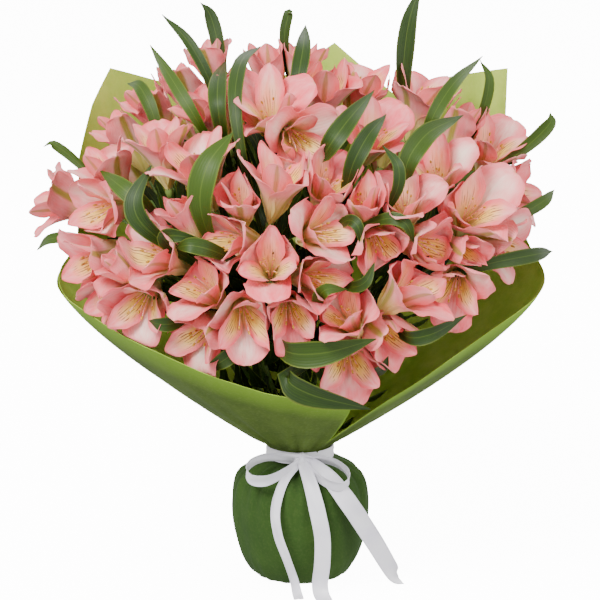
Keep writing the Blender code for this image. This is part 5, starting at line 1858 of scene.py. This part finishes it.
@dataclass
class LeafyStem:
    """One green stem: the stalk, the whorl of leaves of the photograph, and shaded leaves under them."""

    name: str
    number: int
    run: list[Vector]
    leaves: tuple[Leaf, ...]
    flowers: Sequence[Flower]

    INNER_LEAVES = 9
    LOWER_LEAVES = 7
    LEAF_TURN = 2.4

    def places(self, draw: random.Random) -> list[tuple[Vector, Vector, float, float]]:
        """Places the stem's leaves.

        Args:
            draw: Its random numbers.

        Returns:
            Where each leaf comes out and ends, its width and its roll: first the photographed ones, then
            a whorl under the umbel, then the ones further down the stem.
        """
        hub, way = self.run[-1], (self.run[-1] - self.run[-2]).normalized()
        turn = draw.uniform(0, 2 * math.pi)
        side = sideways(way)
        up = way.cross(side)
        places = []
        for leaf in self.leaves:
            ends = DOME.seen(leaf.emerges, leaf.lift * MM), DOME.seen(leaf.tip, leaf.tip_lift * MM)
            places.append((*ends, leaf.width * MM, leaf.roll))
        for n in range(self.INNER_LEAVES):
            out = turned(side, up, turn + n * self.LEAF_TURN)
            rise, reach = draw.uniform(34, 50), draw.uniform(26, 40)
            emerges = hub + way * (14 - 5 * (n % 3)) * MM + out * 16 * MM
            places.append((emerges, hub + way * rise * MM + out * reach * MM, draw.uniform(13, 18) * MM, 0.0))
        for n in range(self.LOWER_LEAVES):
            out = turned(side, up, turn + 1 + n * self.LEAF_TURN)
            foot = point_below(self.run, (55 + 14 * n) * MM)
            places.append((foot + way * 18 * MM + out * 12 * MM, foot + way * 48 * MM + out * 26 * MM, 15 * MM, 0.0))
        return places

    def blades(self) -> Iterator[Blade]:
        """Makes the stem's leaves, kept off the flowers and inside the wrap.

        Yields:
            Each leaf, those inside the bouquet last.
        """
        draw = random.Random(31 * self.number)
        hub, way = self.run[-1], (self.run[-1] - self.run[-2]).normalized()
        for place, (emerges, tip, width, roll) in enumerate(self.places(draw)):
            seen = place < len(self.leaves)
            root = point_below(self.run, (13 + 4 * place) * MM)
            line = [leaf_line(root, emerges, tip, t) for t in Blade.SHARES]
            line = [kept_off(off_stem(point, hub, way), self.flowers) for point in line[1:]]
            if not (seen and self.leaves[place].over_rim):
                line = [FLARE.held_inside(point, PAPER_GAP + width * 0.4) for point in line]
            # Leaves inside the bouquet get only low tints, so their green is painted darker as painted shade.
            tint = draw.uniform(0.0, 0.9 if seen else 0.3)
            face = (DOME.normal(emerges) - SIGHT.look * (0.8 if seen else 0.2)).normalized()
            yield Blade([root, *line], face, width, roll, tint)

    def make(self, tree: GeometryTree) -> None:
        """Makes the stalk and the leaves, which together stand for the CAD stem.

        Args:
            tree: The tree that makes stalks.
        """
        carrier = curve_object("run", [smooth_run(self.run, 6)])
        mesh = tree.applied(carrier, Radius=STEM_RADIUS, Sides=12, Points=40, Finish=STALKS.material())
        node = "stem_" + self.name
        place_piece("stalk_" + self.name, mesh, Slot.GREENERY, node)
        shell = Shell()
        for blade in self.blades():
            blade.add_to(shell)
        shell.piece("leaves_" + self.name, Slot.GREENERY, [LEAVES], node)


@dataclass
class FlowerUmbel:
    """One umbel: the flowers, their stalks from one hub, and their stamens."""

    name: str
    flowers: Sequence[Flower]
    hub: Vector
    way: Vector
    everyone: Sequence[Flower]

    HUB_OVERLAP = 2 * MM
    STALK_RADIUS = 1.3 * MM
    OPEN_ENOUGH = 0.25

    def make(self, stalks: GeometryTree, stamens: GeometryTree) -> None:
        """Makes the tepals and ovaries, the stalks, and the stamens of the flowers that are open.

        Args:
            stalks: The tree that makes stalks.
            stamens: The tree that makes stamens.
        """
        node = "umbel_" + self.name
        heads = [FlowerHead(flower, Room.of(flower, self.everyone)) for flower in self.flowers]
        shell = Shell()
        for head in heads:
            head.add_to(shell)
        shell.piece("blooms_" + self.name, Slot.PETALS, [PETALS, OVARIES], node)
        root = self.hub - self.way * self.HUB_OVERLAP
        carrier = curve_object("stalks", [head.stalk(root, self.way) for head in heads])
        mesh = stalks.applied(carrier, Radius=self.STALK_RADIUS, Sides=8, Points=10, Finish=STALKS.material())
        place_piece("flower_stalks_" + self.name, mesh, Slot.GREENERY, node)
        threads = [run for head in heads if head.flower.opening > self.OPEN_ENOUGH for run in head.stamens()]
        if threads:
            carrier = curve_object("threads", threads)
            mesh = stamens.applied(carrier, Filament=FILAMENTS.material(), Anther=ANTHERS.material())
            place_piece("stamens_" + self.name, mesh, Slot.PETALS, node)


# ------------------------------
# Paper, ribbon and twine


def gathers(turn: float) -> float:
    """Finds the folds of the paper where the tie gathers it.

    Args:
        turn: A turn round the axis, in degrees.

    Returns:
        How far the paper stands out there, from about -1 to 1.
    """
    around = math.radians(turn)
    return (
        0.5 * math.sin(17 * around + 1.3 * math.sin(3 * around))
        + 0.3 * math.sin(29 * around + 2.0)
        + 0.2 * math.sin(11 * around + 0.7)
    )


@dataclass
class PaperSheet:
    """One sheet of the flared wrap, from under the ribbon to its own rim."""

    name: str
    node: str
    rim: Sequence[tuple[float, float]]
    outside: float
    thickness: float = 0.6 * MM
    rows: int = 44
    column_turn: float = 1.6
    corner_gap: float = 0.6
    foot: float = 113.2 * MM
    flare_gap: float = 0.4 * MM
    fold_depth: float = 3.6 * MM
    fold_start: float = 8 * MM
    fold_reach: float = 55 * MM
    sway_start: float = 20 * MM
    sway_rise: float = 120 * MM
    # How far above the neck the painted shade in the inward folds reaches.
    fold_shade_reach: float = 26 * MM
    pale_from: float = 0.76

    def point(self, turn: float, share: float, top: float) -> Vector:
        """Finds a point of the middle of the paper, which sways outwards only, away from the flowers.

        Args:
            turn: A turn round the axis, in degrees.
            share: A share of the way up.
            top: The rim's height at that turn.

        Returns:
            The point.
        """
        height = self.foot + (top - self.foot) * share**1.15
        above = max(height - FLARE.neck_top, 0.0)
        folds = math.exp(-above / self.fold_reach) * min(above / self.fold_start, 1.0)
        around = math.radians(turn)
        sway = (2.2 + math.sin(5 * around + 0.8) * 1.6 + math.sin(9 * around + height * 14) * 0.9) * MM
        radius = FLARE.radius(turn, height) + self.outside + self.flare_gap
        radius += gathers(turn) * self.fold_depth * folds
        radius += sway * share_of((above - self.sway_start) / self.sway_rise)
        return round_axis(around, radius, height)

    def turns(self) -> list[float]:
        """The turns of its columns, which take in every corner of the rim."""
        corners = {turn for turn, _ in self.rim}
        first, last = self.rim[0][0], self.rim[-1][0]
        count = int((last - first) / self.column_turn) + 1
        spaced = {first + n * self.column_turn for n in range(count)}
        return sorted(corners | {n for n in spaced if all(abs(n - corner) > self.corner_gap for corner in corners)})

    def make(self) -> None:
        """Makes the sheet, which stands for its CAD node."""
        shell = Shell()
        turns = self.turns()
        tops = [rim_height(self.rim, turn) for turn in turns]
        rows = []
        for i in range(self.rows + 1):
            rows.append([self.point(turn, i / self.rows, top) for turn, top in zip(turns, tops)])
        shell.add_sheet(rows, [[self.thickness / 2] * len(turns) for _ in rows])
        rim, crease = [], []
        for point, along in zip(shell.points, shell.marks["along"]):
            turn = math.degrees(math.atan2(point.y, point.x)) % 360
            rim.append(max(0.0, (along - self.pale_from) / (1 - self.pale_from)))
            # crease is painted shade: it darkens the inward folds, fading out above the neck.
            above = max(point.z - FLARE.neck_top, 0.0)
            crease.append(max(-gathers(turn), 0.0) * math.exp(-above / self.fold_shade_reach))
        shell.marks["rim"], shell.marks["crease"] = rim, crease
        shell.marks["outside"] = facing_marks(shell.points, len(turns) * len(rows))
        shell.piece(self.name, Slot.WRAP, [PAPER], self.node)


def facing_marks(points: Sequence[Vector], count: int) -> list[float]:
    """Which of a sheet's two faces looks away from the axis.

    Args:
        points: The points of one face and then of the other.
        count: How many points each face has.

    Returns:
        1 for each point of the outer face and 0 for each of the inner one.
    """
    wider = sum(points[n].to_2d().length - points[n + count].to_2d().length for n in range(count))
    first = 1.0 if wider > 0 else 0.0
    return [first] * count + [1.0 - first] * count


@dataclass
class FootWrap:
    """The paper bag round the stem ends, with soft folds that the tie draws together."""

    profile: Sequence[tuple[float, float]] = (
        (0, 0), (35, 0), (44.5, 5), (54, 22), (60.3, 50), (60.8, 76), (55.5, 94), (43, 104), (30, 109.5),
        (26.8, 112.5), (26.8, 128),
    )  # fmt: skip
    sides: int = 200
    thickness: float = 0.8 * MM
    flat_radius: float = 20 * MM
    flat_height: float = 1 * MM

    def folds(self, turn: float, radius: float, height: float) -> float:
        """Finds how far the paper stands out: broad bulges, and fine folds at the neck and underneath.

        Args:
            turn: A turn round the axis, in radians.
            radius: The radius there without folds.
            height: The height.

        Returns:
            The distance.
        """
        bulge = math.sin(math.pi * min(height / TIE_HEIGHT, 1.0))
        broad = 1.3 * bulge * math.cos(6 * turn)
        upper = share_of((height / MM - 50) / 50) ** 1.5
        lower = share_of((40 - height / MM) / 40)
        near_neck = share_of((radius / MM - 27.5) / 12)
        degrees = math.degrees(turn)
        fine = (gathers(degrees) * 3.0 * upper + gathers(degrees + 7) * 1.2 * lower) * near_neck
        soft = 0.5 * math.sin(13 * turn + height * 40) * bulge
        return (broad + fine + soft) * MM

    def make(self) -> None:
        """Makes the bag, which stands for its CAD node."""
        knots = [Vector((radius, 0, height)) * MM for radius, height in self.profile]
        outer = [knots[0], knots[1] * 0.5, *smooth_run(knots[1:], 5)]
        inner = [here + Vector((-way.z, 0, way.x)) * self.thickness for here, way in zip(outer, headings(outer))]
        rings, crease = [], []
        for point in outer[1:] + inner[:0:-1]:
            folded = point.x > self.flat_radius and point.z > self.flat_height
            # depth and crease make painted shade in the inward folds, stronger towards the neck.
            depth = share_of((point.z / MM - 60) / 45)
            ring = []
            for n in range(self.sides):
                turn = 2 * math.pi * n / self.sides
                radius = point.x + (self.folds(turn, point.x, point.z) if folded else 0)
                ring.append(round_axis(turn, radius, max(point.z, 0.0)))
                crease.append(max(-gathers(math.degrees(turn)), 0.0) * depth)
            rings.append(ring)
        shell = Shell()
        shell.add_rings(rings, rim=0.0)
        shell.marks["crease"] = crease
        shell.piece("foot_bag", Slot.FOOT, [FOOT_PAPER], "foot_wrap")


def metres(points: Iterable[tuple[float, float, float]]) -> list[Vector]:
    """Points from millimetres."""
    return [Vector(point) * MM for point in points]


@dataclass
class Bow:
    """The satin ribbon: a band round the neck, the knot, two loops and three tails.

    LOOPS has each loop's route in millimetres. TAILS has each tail's route and width in millimetres, and
    how far its flat side turns on the way, in degrees.
    """

    width: float = 11 * MM
    thickness: float = 0.5 * MM
    knot: Vector = Vector((2, -34.4, 118)) * MM
    knot_half: Vector = Vector((8.2, 4.6, 7))
    band_radius: float = 30.2 * MM
    loop_widening: float = 1.15

    LOOPS = (
        (
            (0.6, -35.4, 119.4), (-14, -37, 121), (-30, -38.5, 121.5), (-43, -44, 118), (-48, -53, 113),
            (-43, -61, 108), (-29, -62, 108), (-12, -49, 112.5), (1.2, -34.0, 116.9),
        ),
        (
            (3.9, -34.7, 119.1), (16, -37, 120), (30, -39, 117), (41, -44, 111), (44, -52, 105),
            (37, -59, 101), (24, -57, 104), (11, -46, 111), (3.3, -35.6, 116.5),
        ),
    )  # fmt: skip
    TAILS = (
        (
            (
                (0.3, -35.9, 117.6), (-14, -52, 104), (-22, -66, 82), (-20, -71, 60), (-12, -69, 36),
                (-6, -65, 16), (-3, -68, 4), (-1, -78, 1.0),
            ),
            9.0, 50,
        ),
        (
            (
                (2.4, -36.5, 118.3), (10, -56, 100), (16, -67, 78), (20, -69, 56), (20, -68, 32),
                (18, -66, 12), (19, -70, 3), (22, -82, 1.0),
            ),
            14.5, -14,
        ),
        (
            (
                (4.7, -35.2, 117.4), (26, -50, 106), (44, -57, 84), (58, -50, 60), (70, -42, 38),
                (81, -34, 16), (87, -30, 5), (92, -28, 1.0),
            ),
            17.0, -42,
        ),
    )  # fmt: skip

    COLUMNS = 6
    BAND_STEPS = 120
    KNOT_RINGS, KNOT_SIDES = 16, 28

    def add_run(self, shell: Shell, run: Sequence[Vector], widths: Sequence[float], faces: Sequence[Vector]) -> None:
        """Adds a stretch of ribbon.

        Args:
            shell: The ribbon's shell.
            run: The points of its middle.
            widths: Its width at each.
            faces: The way its flat side looks at each.
        """
        rows = []
        for n, (place, way) in enumerate(zip(run, headings(run))):
            across = way.cross(faces[n]).normalized()
            look = across.cross(way).normalized()
            row = []
            for j in range(self.COLUMNS + 1):
                v = 2 * j / self.COLUMNS - 1
                curl = 0.06 * widths[n] * (v * v - 0.4) + 0.35 * MM * math.sin(4 * v + n * 0.22)
                row.append(place + across * v * widths[n] / 2 + look * curl)
            rows.append(row)
        shell.add_sheet(rows, [[self.thickness / 2] * (self.COLUMNS + 1) for _ in rows])

    def add_band(self, shell: Shell) -> None:
        """Adds the band round the neck, with the creases of its gathered width."""
        shares = [n / 4 - 1 for n in range(9)]
        rings = []
        for step in range(self.BAND_STEPS):
            turn = 2 * math.pi * step / self.BAND_STEPS
            ring = []
            for v in shares:
                crease = 0.28 * math.sin(7 * v + 2 * math.sin(2 * turn)) + 0.2 * math.sin(5 * turn + 3 * v)
                radius = self.band_radius + (0.75 + crease * 0.6) * MM
                ring.append(round_axis(turn, radius, TIE_HEIGHT + self.width / 2 * v))
            ring += [round_axis(turn, self.band_radius, TIE_HEIGHT + self.width / 2 * v) for v in reversed(shares)]
            rings.append(ring)
        shell.add_rings(rings, closed=True)

    def add_knot(self, shell: Shell) -> None:
        """Adds the knot, a tight wrap with folds that run over it."""
        rings = []
        for i in range(1, self.KNOT_RINGS):
            above = math.pi * i / self.KNOT_RINGS - math.pi / 2
            ring = []
            for n in range(self.KNOT_SIDES):
                ball = on_ball(2 * math.pi * n / self.KNOT_SIDES, above)
                folds = 1 + 0.05 * math.sin(9 * ball.x + 2 * ball.z) + 0.03 * math.sin(15 * ball.x)
                ring.append(self.knot + Vector(a * b for a, b in zip(ball, self.knot_half)) * folds * MM)
            rings.append(ring)
        shell.add_rings(rings)

    def loop_faces(self, run: Sequence[Vector]) -> list[Vector]:
        """Finds the way a loop's flat side looks, outwards from the loop's middle.

        Args:
            run: The loop's points.

        Returns:
            The direction at each.
        """
        middle = sum(run, Vector()) / len(run)
        faces = []
        for point, way in zip(run, headings(run)):
            face = (point - middle).normalized()
            faces.append((face - way * way.dot(face)).normalized())
        return faces

    def tail_face(self, point: Vector, twist: float) -> Vector:
        """Finds the way a tail's flat side looks: out from the axis, and up where the tail lies down.

        Args:
            point: A point of the tail.
            twist: How far it is turned there, in degrees.

        Returns:
            The direction.
        """
        turn = math.atan2(point.y, point.x) + math.radians(twist)
        lying = share_of(1 - point.z / (14 * MM)) ** 2
        return round_axis(turn, 1.0, 0.25).lerp(Vector((0, 0, 1)), lying).normalized()

    def make(self) -> None:
        """Makes the whole bow, which stands for its CAD node."""
        shell = Shell()
        self.add_band(shell)
        self.add_knot(shell)
        for loop in self.LOOPS:
            run = smooth_run(metres(loop), 8)
            self.add_run(shell, run, [self.width * self.loop_widening] * len(run), self.loop_faces(run))
        for tail, width, twist in self.TAILS:
            run = smooth_run(metres(tail), 9)
            widths = [width * MM * (0.75 + 0.25 * min(n / 16, 1)) for n in range(len(run))]
            faces = [self.tail_face(point, twist * math.sin(math.pi * n / len(run))) for n, point in enumerate(run)]
            self.add_run(shell, run, widths, faces)
        shell.piece("satin_bow", Slot.RIBBON, [SATIN], "ribbon")


@dataclass
class Binding:
    """The twine that holds the stems together under the paper."""

    ties: Sequence[Vector]
    strand: float = 0.8 * MM
    ply_radius: float = 0.75 * MM
    clearance: float = 1.8 * MM
    below_tie: float = 4 * MM
    twists: int = 30

    STEPS = 240

    def make(self, tree: GeometryTree) -> None:
        """Makes two twisted plies round the bundle, which stand for their CAD node.

        Args:
            tree: The tree that makes stalks.
        """
        radius = max(place.length for place in self.ties) + STEM_RADIUS + self.clearance
        plies = []
        for start in (0.0, math.pi):
            run = []
            for step in range(self.STEPS + 1):
                turn = 2 * math.pi * step / self.STEPS
                twist = self.twists * turn + start
                out = radius + self.ply_radius * math.cos(twist)
                run.append(round_axis(turn, out, TIE_HEIGHT - self.below_tie + self.ply_radius * math.sin(twist)))
            plies.append(run)
        carrier = curve_object("plies", plies)
        mesh = tree.applied(carrier, Radius=self.strand, Sides=6, Points=self.STEPS, Finish=TWINE.material())
        place_piece("twine_binding", mesh, Slot.TWINE, "binding_twine")


# ------------------------------
# Studio


@dataclass
class Studio:
    """The pale floor, the soft lights and the camera.

    LIGHTS has each light's name, place in metres, width in metres and power in watts.
    """

    floor_half: float = 30.0
    lens: float = 200.0
    sky_strength: float = 1.15

    LIGHTS = (
        ("key", (-1.2, -1.7, 2.2), 1.1, 122.0),
        ("fill", (1.9, -1.3, 1.1), 1.8, 32.0),
        ("rim", (0.5, 1.9, 1.8), 1.4, 24.0),
    )

    def make(self) -> None:
        """Makes the floor, the lights, the sky and the camera."""
        self.make_floor()
        for name, place, size, power in self.LIGHTS:
            self.make_light(name, Vector(place), size, power)
        world = bpy.data.worlds.new("studio")
        world.use_nodes = True
        sky = world.node_tree.nodes["Background"]
        sky.inputs["Color"].default_value = (1.0, 1.0, 1.0, 1.0)
        sky.inputs["Strength"].default_value = self.sky_strength
        bpy.context.scene.world = world
        self.make_camera()

    def make_floor(self) -> None:
        """Makes the floor."""
        half = self.floor_half
        mesh = bpy.data.meshes.new("floor")
        mesh.from_pydata([(-half, -half, 0), (half, -half, 0), (half, half, 0), (-half, half, 0)], [], [(0, 1, 2, 3)])
        mesh.materials.append(FLOOR.material())
        floor = bpy.data.objects.new("floor", mesh)
        floor.visible_diffuse = floor.visible_glossy = False
        bpy.context.scene.collection.objects.link(floor)
        floor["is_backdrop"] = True

    def make_light(self, name: str, place: Vector, size: float, power: float) -> None:
        """Makes a soft square light that looks at the bouquet.

        Args:
            name: The light's name.
            place: Where it stands.
            size: The length of its sides.
            power: Its power in watts.
        """
        light = bpy.data.lights.new(name, "AREA")
        light.size, light.energy = size, power
        made = bpy.data.objects.new(name, light)
        made.location = place
        made.rotation_euler = (SIGHT.aim - place).to_track_quat("-Z", "Y").to_euler()
        bpy.context.scene.collection.objects.link(made)

    def make_camera(self) -> None:
        """Makes the camera at the photograph's viewing angle."""
        camera = bpy.data.objects.new("camera", bpy.data.cameras.new("camera"))
        camera.data.sensor_width = 36.0
        camera.data.lens = self.lens
        camera.location = SIGHT.eye
        camera.rotation_euler = SIGHT.look.to_track_quat("-Z", "Y").to_euler()
        bpy.context.scene.collection.objects.link(camera)
        bpy.context.scene.camera = camera


# ------------------------------
# The whole bouquet


def make_plants() -> list[Vector]:
    """Makes every stem with its leaves and its umbel.

    Returns:
        Each stem's level place at the tie.
    """
    flowers = placed_flowers()
    names = [umbel.name for umbel in UMBELS] + [name for name, _ in BACK_UMBELS]
    leaves = [umbel.leaves for umbel in UMBELS] + [()] * len(BACK_UMBELS)
    members = [[flower for flower in flowers if flower.umbel == n] for n in range(len(names))]
    hubs = [umbel_hub(group) for group in members]
    ties = tie_places([hub for hub, _ in hubs])
    stalks, stamens = stalk_tree(), stamen_tree()
    for n, name in enumerate(names):
        hub, way = hubs[n]
        LeafyStem(name, n, stem_points(ties[n], hub, way), leaves[n], flowers).make(stalks)
        FlowerUmbel(name, members[n], hub, way, flowers).make(stalks, stamens)
    return ties


def corners(bounds: tuple[Vector, Vector]) -> list[list[float]]:
    """A box's two corners as plain numbers."""
    return [list(corner) for corner in bounds]


def main() -> None:
    """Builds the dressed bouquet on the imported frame."""
    logging.basicConfig(level=logging.INFO, format="%(message)s")
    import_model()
    cad_box = corners(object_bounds())
    Studio().make()
    ties = make_plants()
    PaperSheet("paper_back", "wrap_back", BACK_RIM, 0.0).make()
    PaperSheet("paper_front", "wrap_front", FRONT_RIM, 1.75 * MM).make()
    FootWrap().make()
    Bow().make()
    Binding(ties).make(stalk_tree())
    {"cad": cad_box, "visual": corners(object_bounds())}


if __name__ == "__main__":
    main()
